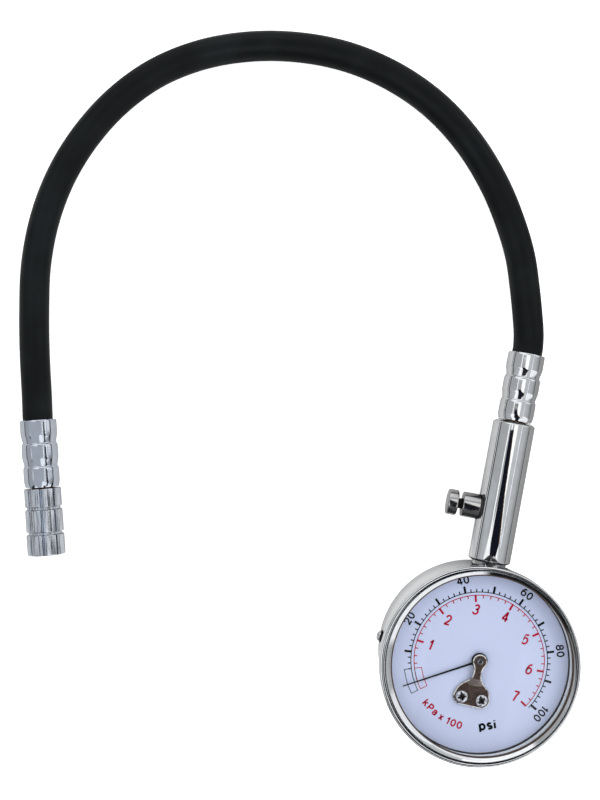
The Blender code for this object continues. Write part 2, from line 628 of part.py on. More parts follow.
def build_bleed(looks, frames):
    """Pressing the button lifts the seal off the boss's inner face, and the air leaves round the rod."""
    frame = frames["bleed"]
    boss = [(1.75, 10.6), (3.25, 10.6), (3.55, 10.3), (3.55, 5.65), (2.35, 5.65), (2.35, 3.4), (1.15, 3.4),
            (1.15, 8.5), (1.75, 8.5)]
    turned("bleed_boss", boss, looks["chrome"], frame, 24)
    turned("bleed_boss_washer", tube_profile(2.65, 3.6, 5.0, 5.5), looks["gasket"], frame, 24)
    button = [(0, 14.9), (3.05, 14.9), (3.65, 14.35), (3.65, 12.5), (3.05, 11.9), (1.45, 11.9), (1.45, 10.2),
              (0.8, 10.2), (0.8, 2.3), (1.6, 2.3), (1.6, 1.8), (0, 1.8)]
    turned("bleed_button", button, looks["nickel"], frame, 24)
    turned("bleed_seal", tube_profile(0.95, 1.9, 2.4, 3.25), looks["rubber"], frame, 20)
    spring = coil_mesh("bleed_spring", lambda t: 1.15, lambda t: -2.2 + 3.7 * t, 4.5, 8,
                       circle(0.2, 4))
    finish("bleed_spring", spring, looks["steel"], frame)


def build_check_valve(looks, frames):
    """A sprung poppet that lets air pass towards the gauge only, so that the reading stays."""
    frame = frames["stem"]
    turned("check_valve_seat", [(1.3, 57.2), (2.85, 57.2), (2.85, 55.9), (1.6, 55.9), (1.3, 56.2)],
           looks["brass"], frame, 24)
    poppet = [(0, 55.3), (0.5, 55.3), (0.5, 54.8), (2.5, 54.8), (2.5, 54.0), (0.7, 53.8), (0.7, 49.2),
              (0, 49.2)]
    turned("check_valve_poppet", poppet, looks["brass"], frame, 16)
    turned("check_valve_seal", tube_profile(0.6, 2.1, 54.9, 55.6), looks["rubber"], frame, 20)
    spring = coil_mesh("check_valve_spring", lambda t: 2.1, lambda t: 48.65 + 5.0 * t, 4.5, 8,
                       circle(0.22, 4))
    finish("check_valve_spring", spring, looks["steel"], frame)


# ---------------------------------------------------------------- hose, ferrules and chuck

def ferrule_profile():
    """A crimped sleeve from its hose mouth: three bulges with two crimp valleys between them."""
    length = FERRULE_LENGTH
    points = [(FERRULE_R - 0.35, 0.0), (FERRULE_R - 0.05, 0.5)]
    waves = 2
    steps = 10
    for k in range(steps + 1):
        part = k / steps
        radius = FERRULE_R - (FERRULE_R - FERRULE_VALLEY_R) * (1 - cos(2 * pi * waves * part)) / 2
        points.append((radius, 2.6 + (length - 5.2) * part))
    points += [(FERRULE_R - 0.05, length - 0.5), (FERRULE_R - 0.35, length)]
    points += [(2.9, length), (2.9, length - 0.9), (FERRULE_BORE_R, length - 1.0), (FERRULE_BORE_R, 0.0)]
    return points


def nipple_barbs(first, last):
    """Barbs of a hose nipple, from its free end up, as an outer outline."""
    points = []
    count = 3
    pitch = (last - first) / count
    for k in range(count):
        low = first + pitch * k
        points += [(2.05, low), (2.45, low + pitch * 0.8)]
    return points


def build_stem_end(looks, frames):
    """The nipple screwed into the stem, the crimped end of the hose on it and the ferrule around it."""
    frame = frames["stem_ferrule"]
    turned("hose_ferrule_stem", ferrule_profile(), looks["chrome"], frame, 20)
    end = FERRULE_LENGTH
    turned("hose_end_stem", tube_profile(2.65, FERRULE_BORE_R - 0.2, 0.2, end - 1.3), looks["rubber"],
           frame, 24)
    outside = nipple_barbs(1.0, end - 1.8)
    foot = end + FERRULE_Y - STEM_Y[1]
    nipple = [(1.3, 0.9)] + outside + [(2.45, end + 0.15), (4.7, end + 0.15), (4.7, foot - 0.15),
                                       (3.3, foot - 0.15), (3.3, foot + 8.8), (1.3, foot + 8.8)]
    turned("hose_nipple_stem", nipple, looks["brass"], frame, 16)


def lobed_radius(angle, lobes, depth):
    """Flutes: rounded lobes with a narrow valley between them."""
    turn = (angle * lobes / (2 * pi)) % 1.0
    nearness = abs(turn - 0.5) * 2
    return -depth * max(0.0, (nearness - 0.62) / 0.38) ** 1.5


def build_chuck(looks, frames):
    """A swivelling screw-on collar held by the flange of the hose's nipple."""
    frame = frames["chuck"]
    turned("hose_ferrule_chuck", ferrule_profile(), looks["chrome"], frame, 20)
    end = FERRULE_LENGTH
    turned("hose_end_chuck", tube_profile(2.65, FERRULE_BORE_R - 0.2, 0.2, end - 1.3), looks["rubber"],
           frame, 24)
    face = end + 0.4
    nipple = [(1.3, 0.9)] + nipple_barbs(1.0, end - 1.8) + [
        (2.45, end + 0.1), (3.1, end + 0.1), (3.1, face + 2.9), (4.15, face + 2.9), (4.15, face + 4.9),
        (1.7, face + 4.9), (1.7, face + 4.0), (1.3, face + 4.0)]
    turned("hose_nipple_chuck", nipple, looks["brass"], frame, 16)
    turned("chuck_thrust_washer", tube_profile(3.25, 4.15, face + 2.3, face + 2.7), looks["steel"], frame, 24)
    turned("chuck_seal", tube_profile(1.25, 3.95, face + 5.1, face + 7.1), looks["rubber"], frame, 24)
    pin = turned_bmesh(rod_profile(0.55, face + 4.2, face + 9.4), 12)
    depressor = finish("valve_depressor", mesh_from(pin, "valve_depressor"), looks["brass"], frame)
    bar = box_bmesh((-1.5, -0.6, face + 4.2), (1.5, 0.6, face + 4.9))
    boolean(depressor, cutter("join_depressor_bar", bar, frame), "UNION")
    build_collar(looks, frame, face)


def build_collar(looks, frame, face):
    """Three fluted bands with grooves between them, around the threaded mouth."""
    lobes, per_lobe = 8, 4
    sides = lobes * per_lobe
    band, groove = 5.6, 0.8
    groove_r = CHUCK_R - 0.7
    outer = [(CHUCK_R - 0.5, 0.0, 0.6), (CHUCK_R, 0.5, 1.0)]
    for k in range(3):
        low = 0.5 + k * (band + groove)
        high = low + band - 0.5 * (k == 0)
        outer += [(CHUCK_R, high, 1.0)]
        if k < 2:
            outer += [(groove_r, high + 0.1, 0.0), (groove_r, high + groove, 0.0)]
            outer += [(CHUCK_R, high + groove + 0.1, 1.0)]
    outer[-1] = (CHUCK_R, CHUCK_LENGTH - 0.5, 1.0)
    outer += [(CHUCK_R - 0.5, CHUCK_LENGTH, 0.6)]
    inner = [(4.2, CHUCK_LENGTH, 0.0), (3.95, CHUCK_LENGTH - 0.5, 0.0), (3.95, 7.4, 0.0), (4.35, 7.2, 0.0),
             (4.35, 2.2, 0.0), (3.3, 2.0, 0.0), (3.3, 0.0, 0.0)]
    bm = bmesh.new()
    rings = []
    for radius, height, fluted in outer + inner:
        ring = []
        for step in range(sides):
            angle = 2 * pi * step / sides
            reach = radius + fluted * lobed_radius(angle, lobes, 0.6)
            ring.append(bm.verts.new((reach * cos(angle), reach * sin(angle), face + height)))
        rings.append(ring)
    for here, there in zip(rings, rings[1:] + rings[:1]):
        for step in range(sides):
            after = (step + 1) % sides
            bm.faces.new([here[step], here[after], there[after], there[step]])
    finish("chuck_collar", mesh_from(bm, "chuck_collar"), looks["chrome"], frame)


def smooth_route(points, spacing):
    """Points at even distances along a smooth curve (centripetal Catmull-Rom) through the route's points."""
    knots = [Vector(p) for p in points]
    knots = [knots[0] * 2 - knots[1]] + knots + [knots[-1] * 2 - knots[-2]]
    fine = []
    for a, b, c, d in zip(knots, knots[1:], knots[2:], knots[3:]):
        t1 = sqrt((b - a).length)
        t2 = t1 + sqrt((c - b).length)
        t3 = t2 + sqrt((d - c).length)
        for k in range(20):
            t = t1 + (t2 - t1) * k / 20
            ab = a.lerp(b, t / t1)
            bc = b.lerp(c, (t - t1) / (t2 - t1))
            cd = c.lerp(d, (t - t2) / (t3 - t2))
            fine.append(ab.lerp(bc, t / t2).lerp(bc.lerp(cd, (t - t1) / (t3 - t1)), (t - t1) / (t2 - t1)))
    fine.append(knots[-2])
    total = sum((b - a).length for a, b in zip(fine, fine[1:]))
    count = ceil(total / spacing)
    wanted = [total * k / count for k in range(count + 1)]
    even, run = [fine[0]], 0.0
    for a, b in zip(fine, fine[1:]):
        step = (b - a).length
        while len(even) <= count and run + step >= wanted[len(even)] - 1e-9:
            even.append(a.lerp(b, (wanted[len(even)] - run) / step))
        run += step
    return even


def build_hose(looks):
    """The free stretch of the hose, between the two ferrules."""
    curve = bpy.data.curves.new("hose", "CURVE")
    curve.dimensions = "3D"
    curve.bevel_depth = HOSE_R * MM
    curve.bevel_resolution = 4
    curve.use_fill_caps = True
    # the end pieces stay square to the ferrules that they meet
    route = [Vector(HOSE_ROUTE[0])] + smooth_route(HOSE_ROUTE[1:-1], 4 * HOSE_R) + [Vector(HOSE_ROUTE[-1])]
    spline = curve.splines.new("POLY")
    spline.points.add(len(route) - 1)
    for point, place in zip(spline.points, route):
        point.co = (*(place * MM), 1.0)
    curve.materials.append(looks["rubber"])
    made = bpy.data.objects.new("hose", curve)
    bpy.context.collection.objects.link(made)


# ---------------------------------------------------------------- the gauge

def build_frames():
    """Empties on the axes that pieces are built on, or turn and slide about."""
    turned_frame = Matrix.Rotation(radians(DIAL_TURN), 3, "Z").to_quaternion()
    dial = empty("dial_axis", (*DIAL_SHIFT, 0), turned_frame)
    case = empty("case_axis", (0, 0, 0), turned_frame)
    ferrule_mouth = FERRULE_Y + FERRULE_LENGTH
    return {
        "dial": dial,
        "stem": empty("stem_axis", (0, 0, STEM_Z), along((0, 1, 0))),
        "bleed": empty("bleed_axis", (0, BLEED_Y, STEM_Z), along((-1, 0, 0))),
        "left": empty("side_axis_left", (0, 0, 11.0), along((-1, 0, 0)), case),
        "right": empty("side_axis_right", (0, 0, 11.0), along((1, 0, 0)), case),
        "pointer": empty("pointer_axis", (0, 0, 0),
                         Matrix.Rotation(radians(POINTER_REST), 3, "Z").to_quaternion(), dial),
        "hairspring": empty("hairspring_axis", (0, 0, 0),
                            Matrix.Rotation(radians(60 - 180), 3, "Z").to_quaternion(), dial),
        "sector": empty("sector_axis", (*sector_pivot(), 0), parent=dial),
        "tip": empty("tip_axis", (*LINK_TOP, 0), parent=dial),
        "stem_ferrule": empty("stem_ferrule_axis", (0, ferrule_mouth, STEM_Z), along((0, -1, 0))),
        "chuck": empty("chuck_axis", (*CHUCK_HOSE_END, CHUCK_Z), along((*CHUCK_HEADING, 0))),
    }


def build_looks():
    return {
        "chrome": material("chrome", (0.78, 0.79, 0.80), 0.08, 1.0),
        "nickel": material("nickel", (0.36, 0.35, 0.34), 0.22, 1.0),
        "steel": material("steel", (0.55, 0.55, 0.56), 0.35, 1.0),
        "brass": material("brass", (0.72, 0.53, 0.24), 0.35, 1.0),
        "bronze": material("bronze", (0.20, 0.14, 0.10), 0.35, 1.0),
        "ring": material("ring", (0.62, 0.64, 0.68), 0.45, 0.0),
        "gasket": material("gasket", (0.10, 0.06, 0.04), 0.7, 0.0),
        "rubber": material("rubber", (0.012, 0.012, 0.013), 0.6, 0.0),
        "black": material("black", (0.01, 0.01, 0.012), 0.45, 0.0),
        "dial": material("dial", (0.68, 0.71, 0.84), 0.5, 0.0),
        "lens": material("lens", (0.9, 0.93, 0.95), 0.02, 0.0),
    }


def main():
    for old in list(bpy.data.objects):
        bpy.data.objects.remove(old, do_unlink=True)
    looks = build_looks()
    frames = build_frames()
    build_case(looks, frames)
    build_front(looks)
    build_dial(looks, frames)
    build_side_screws(looks, frames)
    build_base(looks, frames)
    build_pillars(looks, frames)
    build_bridge(looks, frames)
    build_pointer(looks, frames)
    build_sector(looks, frames)
    build_tube(looks, frames)
    build_socket(looks, frames)
    build_stem(looks, frames)
    build_bleed(looks, frames)
    build_check_valve(looks, frames)
    build_stem_end(looks, frames)
    build_chuck(looks, frames)
    build_hose(looks)
    bpy.context.view_layer.update()


main()
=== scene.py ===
"""The looks of a dial tire pressure gauge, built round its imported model.

Sizes are in millimetres, and MM makes metres of them. Angles are in degrees.
"""

from math import acos, atan2, ceil, cos, degrees, hypot, pi, radians, sin, sqrt

import bmesh
import bpy
from mathutils import Matrix, Vector
from mathutils.geometry import tessellate_polygon


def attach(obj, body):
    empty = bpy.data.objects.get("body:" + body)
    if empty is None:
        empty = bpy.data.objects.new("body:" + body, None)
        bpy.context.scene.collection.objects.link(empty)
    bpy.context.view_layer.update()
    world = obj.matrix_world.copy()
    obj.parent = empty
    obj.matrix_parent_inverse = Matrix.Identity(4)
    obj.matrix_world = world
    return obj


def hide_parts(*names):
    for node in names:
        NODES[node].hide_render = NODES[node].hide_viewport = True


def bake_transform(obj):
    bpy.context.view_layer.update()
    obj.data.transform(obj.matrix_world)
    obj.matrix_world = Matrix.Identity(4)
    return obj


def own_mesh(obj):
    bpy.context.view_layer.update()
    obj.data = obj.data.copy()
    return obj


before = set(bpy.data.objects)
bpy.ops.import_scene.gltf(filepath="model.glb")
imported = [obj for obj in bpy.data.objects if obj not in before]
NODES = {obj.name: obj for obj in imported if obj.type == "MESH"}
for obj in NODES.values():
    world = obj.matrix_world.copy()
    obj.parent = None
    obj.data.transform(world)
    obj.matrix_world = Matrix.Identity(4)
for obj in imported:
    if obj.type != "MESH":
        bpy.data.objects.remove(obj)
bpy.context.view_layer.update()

MM = 0.001
DIAL_TURN = Matrix.Rotation(radians(-1.9), 4, "Z")
DIAL = Matrix.Translation((0.36, 0.80, 0)) @ DIAL_TURN
CASE_CENTRE = tuple(DIAL.inverted().translation.to_2d())
STEM_Z = 8.6
IMAGE_TURN = 10.4
BRIDGE_SCREWS = (2.75, -10.45)        # half the distance between them, and how far they lie from the hub
SIDE_SCREW_Z = 11.0
DIAL_Z = (20.5, 21.0)
LENS_Z = (25.2, 26.3)


# ---------------------------------------------------------------- camera

def make_camera():
    data = bpy.data.cameras.new("camera")
    data.lens = 62.0
    data.sensor_width = 36.0
    data.clip_start = 0.01
    data.clip_end = 20.0
    camera = bpy.data.objects.new("camera", data)
    camera.location = (-0.0615, 0.0628, 0.403)
    camera.rotation_euler = (0, 0, radians(IMAGE_TURN))
    bpy.context.collection.objects.link(camera)
    bpy.context.scene.camera = camera


# ---------------------------------------------------------------- shapes

def along(direction, origin=(0, 0, 0)):
    """A matrix whose +Z runs along a direction, starting at an origin in mm."""
    turn = Vector(direction).to_track_quat("Z", "Y").to_matrix().to_4x4()
    return Matrix.Translation(Vector(origin)) @ turn


STEM = along((0, 1, 0), (0, 0, STEM_Z))
BLEED = along((-1, 0, 0), (0, 42.0, STEM_Z))
STEM_FERRULE = along((0, -1, 0), (0, 87.4, STEM_Z))
CHUCK = along((0.244, -0.970, 0), (-134.8, 43.5, 5.6))


def polar(radius, angle, centre=(0.0, 0.0)):
    return (centre[0] + radius * cos(radians(angle)), centre[1] + radius * sin(radians(angle)))


def circle(radius, sides, centre=(0.0, 0.0)):
    return [polar(radius, 360 * k / sides, centre) for k in range(sides)]


def rounded(outline, steps=5, closed=True):
    """Rounds the corners of an outline of (x, y) or (x, y, radius) points."""
    points = []
    count = len(outline)
    for k, corner in enumerate(outline):
        here = Vector(corner[:2])
        radius = corner[2] if len(corner) > 2 else 0.0
        if radius <= 0 or (not closed and k in (0, count - 1)):
            points.append(tuple(here))
            continue
        back = Vector(outline[k - 1][:2]) - here
        forth = Vector(outline[(k + 1) % count][:2]) - here
        limit = min(back.length, forth.length) * 0.499
        back.normalize()
        forth.normalize()
        half = acos(max(-1.0, min(1.0, back.dot(forth)))) / 2
        reach = min(radius / max(sin(half) / max(cos(half), 1e-6), 1e-6), limit)
        start, end = here + back * reach, here + forth * reach
        for step in range(steps + 1):
            t = step / steps
            points.append(tuple(start * (1 - t) ** 2 + here * 2 * t * (1 - t) + end * t ** 2))
    return points


def smooth_line(points, per_span=8):
    """A Catmull-Rom line through points of any dimension."""
    knots = [Vector(p) for p in points]
    knots = [knots[0] * 2 - knots[1]] + knots + [knots[-1] * 2 - knots[-2]]
    line = []
    for a, b, c, d in zip(knots, knots[1:], knots[2:], knots[3:]):
        t1 = sqrt((b - a).length)
        t2 = t1 + sqrt((c - b).length)
        t3 = t2 + sqrt((d - c).length)
        for k in range(per_span):
            t = t1 + (t2 - t1) * k / per_span
            ab, bc, cd = a.lerp(b, t / t1), b.lerp(c, (t - t1) / (t2 - t1)), c.lerp(d, (t - t2) / (t3 - t2))
            line.append(ab.lerp(bc, t / t2).lerp(bc.lerp(cd, (t - t1) / (t3 - t1)), (t - t1) / (t2 - t1)))
    line.append(knots[-2])
    return line


def lathe(bm, profile, sides, reach=None):
    """Turns a closed (radius, height) outline about Z; reach(angle, radius) can change a radius."""
    rings = []
    for radius, height in profile:
        if radius < 1e-6:
            rings.append([bm.verts.new((0, 0, height))])
            continue
        ring = []
        for step in range(sides):
            angle = 2 * pi * step / sides
            far = radius if reach is None else reach(angle, radius)
            ring.append(bm.verts.new((far * cos(angle), far * sin(angle), height)))
        rings.append(ring)
    for here, there in zip(rings, rings[1:] + rings[:1]):
        if len(here) == 1 and len(there) == 1:
            continue
        for step in range(sides):
            after = (step + 1) % sides
            corners = [here[step % len(here)], here[after % len(here)],
                       there[after % len(there)], there[step % len(there)]]
            bm.faces.new(list(dict.fromkeys(corners)))


def slab(bm, outline, holes, low, high):
    """A flat plate between two heights, with holes."""
    loops = [outline] + holes
    flat = [p for loop in loops for p in loop]
    bottom = [bm.verts.new((p[0], p[1], low)) for p in flat]
    top = [bm.verts.new((p[0], p[1], high)) for p in flat]
    for triangle in tessellate_polygon([[Vector((x, y, 0)) for x, y in loop] for loop in loops]):
        bm.faces.new([bottom[k] for k in triangle])
        bm.faces.new([top[k] for k in triangle])
    first = 0
    for loop in loops:
        for k in range(len(loop)):
            a, b = first + k, first + (k + 1) % len(loop)
            bm.faces.new([bottom[a], bottom[b], top[b], top[a]])
        first += len(loop)


def finish_mesh(bm, name, matrix):
    """Ends a bmesh: normals out, in its place, in metres."""
    bmesh.ops.remove_doubles(bm, verts=bm.verts, dist=1e-5)
    bmesh.ops.recalc_face_normals(bm, faces=bm.faces)
    bm.transform(Matrix.Scale(MM, 4) @ matrix)
    mesh = bpy.data.meshes.new(name)
    bm.to_mesh(mesh)
    bm.free()
    return mesh


def piece(name, mesh, look, body, replaced=(), sharp=32):
    """One visible piece, on its body, in place of CAD nodes. One given no body rides on none."""
    made = bpy.data.objects.new(name, mesh)
    bpy.context.collection.objects.link(made)
    for material in (look if isinstance(look, (list, tuple)) else [look]):
        mesh.materials.append(material)
    mesh.shade_smooth()
    mesh.set_sharp_from_angle(angle=radians(sharp))
    if replaced:
        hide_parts(*replaced)
    if body:
        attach(made, body)
    return made


def turned(name, profile, look, body, replaced=(), matrix=Matrix(), sides=128, sharp=32, reach=None):
    bm = bmesh.new()
    lathe(bm, profile, sides, reach)
    return piece(name, finish_mesh(bm, name, matrix), look, body, replaced, sharp)


def cut(target, shapes):
    """Cuts bmesh bodies, given with their matrices, out of a piece, and keeps the result."""
    for bm, matrix in shapes:
        tool = bpy.data.objects.new("tool", finish_mesh(bm, "tool", matrix))
        bpy.context.collection.objects.link(tool)
        step = target.modifiers.new("cut", "BOOLEAN")
        step.solver = "EXACT"
        step.object = tool
        mesh = bpy.data.meshes.new_from_object(target.evaluated_get(bpy.context.evaluated_depsgraph_get()))
        target.modifiers.clear()
        target.data = mesh
        bpy.data.objects.remove(tool)
    target.data.shade_smooth()
    target.data.set_sharp_from_angle(angle=radians(28))


def rod(radius, low, high, sides=64):
    bm = bmesh.new()
    lathe(bm, [(0, high), (radius, high), (radius, low), (0, low)], sides)
    return bm


def sleeve(inner, outer, low, high, edge=0.15):
    """The outline of a ring or sleeve with broken edges."""
    return rounded([(outer, high, edge), (outer, low, edge), (inner, low, edge), (inner, high, edge)], 3)


# ---------------------------------------------------------------- materials

class Graph:
    """A node tree that is built up step by step."""

    def __init__(self, tree):
        self.tree = tree

    def node(self, kind, **settings):
        made = self.tree.nodes.new(kind)
        for key, value in settings.items():
            setattr(made, key, value)
        return made

    def link(self, out, socket):
        self.tree.links.new(out, socket)

    def feed(self, value, socket):
        """Gives a socket another socket's output, or a plain value."""
        if isinstance(value, bpy.types.NodeSocket):
            self.link(value, socket)
        elif value is not None:
            socket.default_value = value

    def maths(self, operation, a, b=None):
        step = self.node("ShaderNodeMath", operation=operation)
        self.feed(a, step.inputs[0])
        self.feed(b, step.inputs[1])
        return step.outputs["Value"]

    def span(self, value, from_low, from_high, to_low=0.0, to_high=1.0):
        step = self.node("ShaderNodeMapRange", interpolation_type="SMOOTHSTEP")
        limits = {"From Min": from_low, "From Max": from_high, "To Min": to_low, "To Max": to_high}
        for key, number in limits.items():
            step.inputs[key].default_value = number
        self.link(value, step.inputs["Value"])
        return step.outputs["Result"]

    def blend(self, value, low, high):
        """A colour that goes from one to another as a value goes from 0 to 1."""
        mix = self.node("ShaderNodeMix", data_type="RGBA")
        self.link(value, mix.inputs[0])
        for colour, socket in ((low, mix.inputs[6]), (high, mix.inputs[7])):
            self.feed(colour if isinstance(colour, bpy.types.NodeSocket) else (*colour, 1.0), socket)
        return mix.outputs[2]

    def background(self, colour, strength):
        made = self.node("ShaderNodeBackground")
        self.feed(colour, made.inputs["Color"])
        self.feed(strength, made.inputs["Strength"])
        return made.outputs["Background"]

    def mix_shaders(self, share, first, second):
        mix = self.node("ShaderNodeMixShader")
        for out, socket in zip((share, first, second), mix.inputs):
            self.link(out, socket)
        return mix.outputs["Shader"]


class Look(Graph):
    """A Principled material that is built up from nodes. Coordinates are metres in the row's frame."""

    def __init__(self, name, colour, roughness, metallic=0.0, **sockets):
        self.material = bpy.data.materials.new(name)
        self.material.use_nodes = True
        super().__init__(self.material.node_tree)
        self.shader = self.tree.nodes["Principled BSDF"]
        self.set("Base Color", (*colour, 1.0))
        self.set("Roughness", roughness)
        self.set("Metallic", metallic)
        for key, value in sockets.items():
            self.set(key.replace("_", " "), value)
        self.where = self.place("Object")

    def set(self, key, value):
        self.shader.inputs[key].default_value = value

    def place(self, kind):
        return self.node("ShaderNodeTexCoord").outputs[kind]

    def noise(self, scale, detail=3.0, stretch=(1, 1, 1), turn=0.0, distortion=0.0, rough=0.5, where=None):
        """Noise in 0..1 with a feature size of about 1/scale mm."""
        mapping = self.node("ShaderNodeMapping", vector_type="TEXTURE")
        mapping.inputs["Rotation"].default_value = (0, 0, radians(turn))
        mapping.inputs["Scale"].default_value = [MM / (scale * s) for s in stretch]
        self.link(where or self.where, mapping.inputs["Vector"])
        texture = self.node("ShaderNodeTexNoise")
        settings = {"Scale": 1.0, "Detail": detail, "Roughness": rough, "Distortion": distortion}
        for key, number in settings.items():
            texture.inputs[key].default_value = number
        self.link(mapping.outputs["Vector"], texture.inputs["Vector"])
        return texture.outputs["Fac"]

    def colour(self, value, low, high):
        """A base colour that wanders between two as a value goes from 0 to 1."""
        self.link(self.blend(value, low, high), self.shader.inputs["Base Color"])

    def roughness(self, value, low, high):
        self.link(self.span(value, 0.25, 0.75, low, high), self.shader.inputs["Roughness"])

    def bump(self, height, distance):
        """Adds a bump of a height in mm on top of those before."""
        step = self.node("ShaderNodeBump")
        step.inputs["Strength"].default_value = 1.0
        step.inputs["Distance"].default_value = distance * MM
        self.link(height, step.inputs["Height"])
        old = self.shader.inputs["Normal"]
        if old.is_linked:
            self.link(old.links[0].from_socket, step.inputs["Normal"])
        self.link(step.outputs["Normal"], old)


def chrome(name, colour=(0.80, 0.815, 0.83), low=0.035, high=0.10, grain=(1, 1, 1), turn=0.0, depth=0.0012,
           wave=0.006):
    """Bright plate: slight waviness under it, hair lines along the grain, and a thin haze in patches."""
    look = Look(name, colour, low, 1.0)
    haze = look.noise(0.35, 4.0)
    look.colour(look.span(haze, 0.35, 0.75), colour, [c * 0.93 for c in colour])
    look.roughness(haze, low, high)
    look.bump(look.noise(0.28, 1.0), wave)
    look.bump(look.noise(2.2, 4.0, grain, turn), depth)
    return look.material


def scored(name, colour, turn):
    """Plate over a coarsely turned and filed surface: fine dark and bright lines that run along the grain."""
    look = Look(name, colour, 0.2, 1.0)
    lines = look.noise(6.0, 2.0, (1, 0.015, 1), turn, rough=0.6)
    broad = look.noise(1.4, 2.0, (1, 0.10, 1), turn)
    look.colour(look.span(lines, 0.40, 0.48), [c * 0.30 for c in colour], colour)
    look.roughness(lines, 0.08, 0.18)
    look.bump(broad, 0.02)
    look.bump(lines, 0.03)
    return look.material


def plated_looks():
    far_turn = 14.1
    return {
        "chrome_case": chrome("chrome_case", grain=(1, 1, 6)),
        "chrome_bezel": chrome("chrome_bezel", wave=0.004),
        "chrome_stem": chrome("chrome_stem", (0.84, 0.855, 0.865), 0.015, 0.05, (4, 0.12, 4), depth=0.0015,
                              wave=0.003),
        "chrome_near": chrome("chrome_near", grain=(3, 0.3, 3), low=0.05, high=0.12),
        # The far ferrule's chrome is a darker, bluer copy of the near one's: painted shade.
        "chrome_far_shaded": chrome("chrome_far_shaded", (0.66, 0.71, 0.79), 0.06, 0.14, (3, 0.3, 3), far_turn, 0.002),
        "chrome_chuck": scored("chrome_chuck", (0.84, 0.89, 0.96), far_turn),
        "chrome_screw": chrome("chrome_screw", (0.72, 0.73, 0.75), 0.08, 0.18, depth=0.004),
        "nickel": chrome("nickel", (0.50, 0.50, 0.50), 0.07, 0.16, (0.15, 4, 4), depth=0.006),
        "steel": chrome("steel", (0.50, 0.50, 0.52), 0.28, 0.42, depth=0.006),
    }


def brass_and_bronze_looks():
    brass = Look("brass", (0.72, 0.53, 0.24), 0.35, 1.0)
    tarnish = brass.noise(0.5, 5.0)
    brass.colour(brass.span(tarnish, 0.4, 0.7), (0.74, 0.55, 0.25), (0.52, 0.35, 0.15))
    brass.roughness(tarnish, 0.26, 0.45)
    brass.bump(brass.noise(3.0, 3.0), 0.004)

    # Brass darkened almost to black: real brass, with painted shade for the gaps at the ferrules where the
    # hose nipples show.
    gap_shaded = Look("gap_shaded_brass", (0.09, 0.055, 0.03), 0.5, 1.0)
    gap_shaded.colour(gap_shaded.noise(1.5, 4.0), (0.03, 0.02, 0.014), (0.16, 0.085, 0.04))
    gap_shaded.roughness(gap_shaded.noise(3.0, 3.0), 0.35, 0.6)

    bronze = Look("bronze", (0.14, 0.10, 0.085), 0.3, 0.55)
    stain = bronze.noise(0.9, 5.0)
    bronze.colour(bronze.span(stain, 0.35, 0.7), (0.120, 0.085, 0.072), (0.065, 0.044, 0.037))
    bronze.roughness(stain, 0.22, 0.36)
    bronze.bump(bronze.noise(5.0, 3.0, (1, 5, 1)), 0.002)

    # A lighter copy of the bronze for the top of the bend: a painted highlight.
    slope = Look("bronze_bend_highlight", (0.26, 0.23, 0.21), 0.3, 0.55)
    bend_patches = slope.noise(1.4, 4.0)
    slope.colour(slope.span(bend_patches, 0.35, 0.7), (0.28, 0.25, 0.23), (0.17, 0.145, 0.13))
    slope.roughness(bend_patches, 0.24, 0.38)

    sheared = Look("sheared_edge", (0.80, 0.79, 0.74), 0.3, 0.4)
    nicks = sheared.noise(0.8, 4.0)
    sheared.colour(sheared.span(nicks, 0.36, 0.52), (0.10, 0.085, 0.075), (0.86, 0.85, 0.80))
    sheared.roughness(nicks, 0.2, 0.4)
    return {"brass": brass.material, "gap_shaded_brass": gap_shaded.material, "bronze": bronze.material,
            "bronze_bend_highlight": slope.material, "sheared": sheared.material}


def hose_look():
    """Black rubber with a faint bloom, and a sheen that was drawn out along the hose."""
    rubber = Look("hose_rubber", (0.004, 0.0055, 0.006), 0.5, 0.0, Specular_IOR_Level=0.14)
    bloom = rubber.noise(0.06, 6.0, distortion=0.4)
    rubber.colour(rubber.span(bloom, 0.42, 0.75), (0.0018, 0.0032, 0.0038), (0.0056, 0.0078, 0.0090))
    rubber.roughness(rubber.noise(0.02, 3.0, (1, 0.05, 1), where=rubber.place("UV")), 0.30, 0.56)
    rubber.bump(rubber.noise(1.6, 5.0), 0.02)
    rubber.bump(rubber.noise(0.12, 3.0), 0.12)
    return rubber.material


def dull_looks():
    """Seals, gasket, black paint, and the painted shade for recesses and gaps."""
    seal = Look("seal_rubber", (0.015, 0.015, 0.016), 0.6)
    dust = seal.noise(1.2, 4.0)
    seal.colour(dust, (0.010, 0.010, 0.011), (0.026, 0.026, 0.028))
    seal.bump(dust, 0.02)

    gasket = Look("gasket_rubber", (0.055, 0.032, 0.024), 0.6)
    grain = gasket.noise(1.5, 3.0)
    gasket.colour(grain, (0.040, 0.022, 0.017), (0.075, 0.045, 0.034))
    gasket.bump(grain, 0.01)

    black = Look("black_paint", (0.004, 0.004, 0.005), 0.42, 0.0, Specular_IOR_Level=0.2)
    peel = black.noise(2.5, 3.0)
    black.roughness(peel, 0.34, 0.50)
    black.bump(peel, 0.004)

    # Painted shade: a near-black look with a faint speckle, put where shade falls in recesses and gaps.
    painted_shade = Look("painted_recess_shade", (0.006, 0.006, 0.006), 0.7, 0.3, Specular_IOR_Level=0.2)
    shade_speckle = painted_shade.noise(4.0, 3.0)
    painted_shade.colour(shade_speckle, (0.003, 0.003, 0.003), (0.02, 0.019, 0.018))
    painted_shade.bump(shade_speckle, 0.02)
    return {"seal": seal.material, "gasket": gasket.material, "black": black.material, "painted_shade": painted_shade.material}


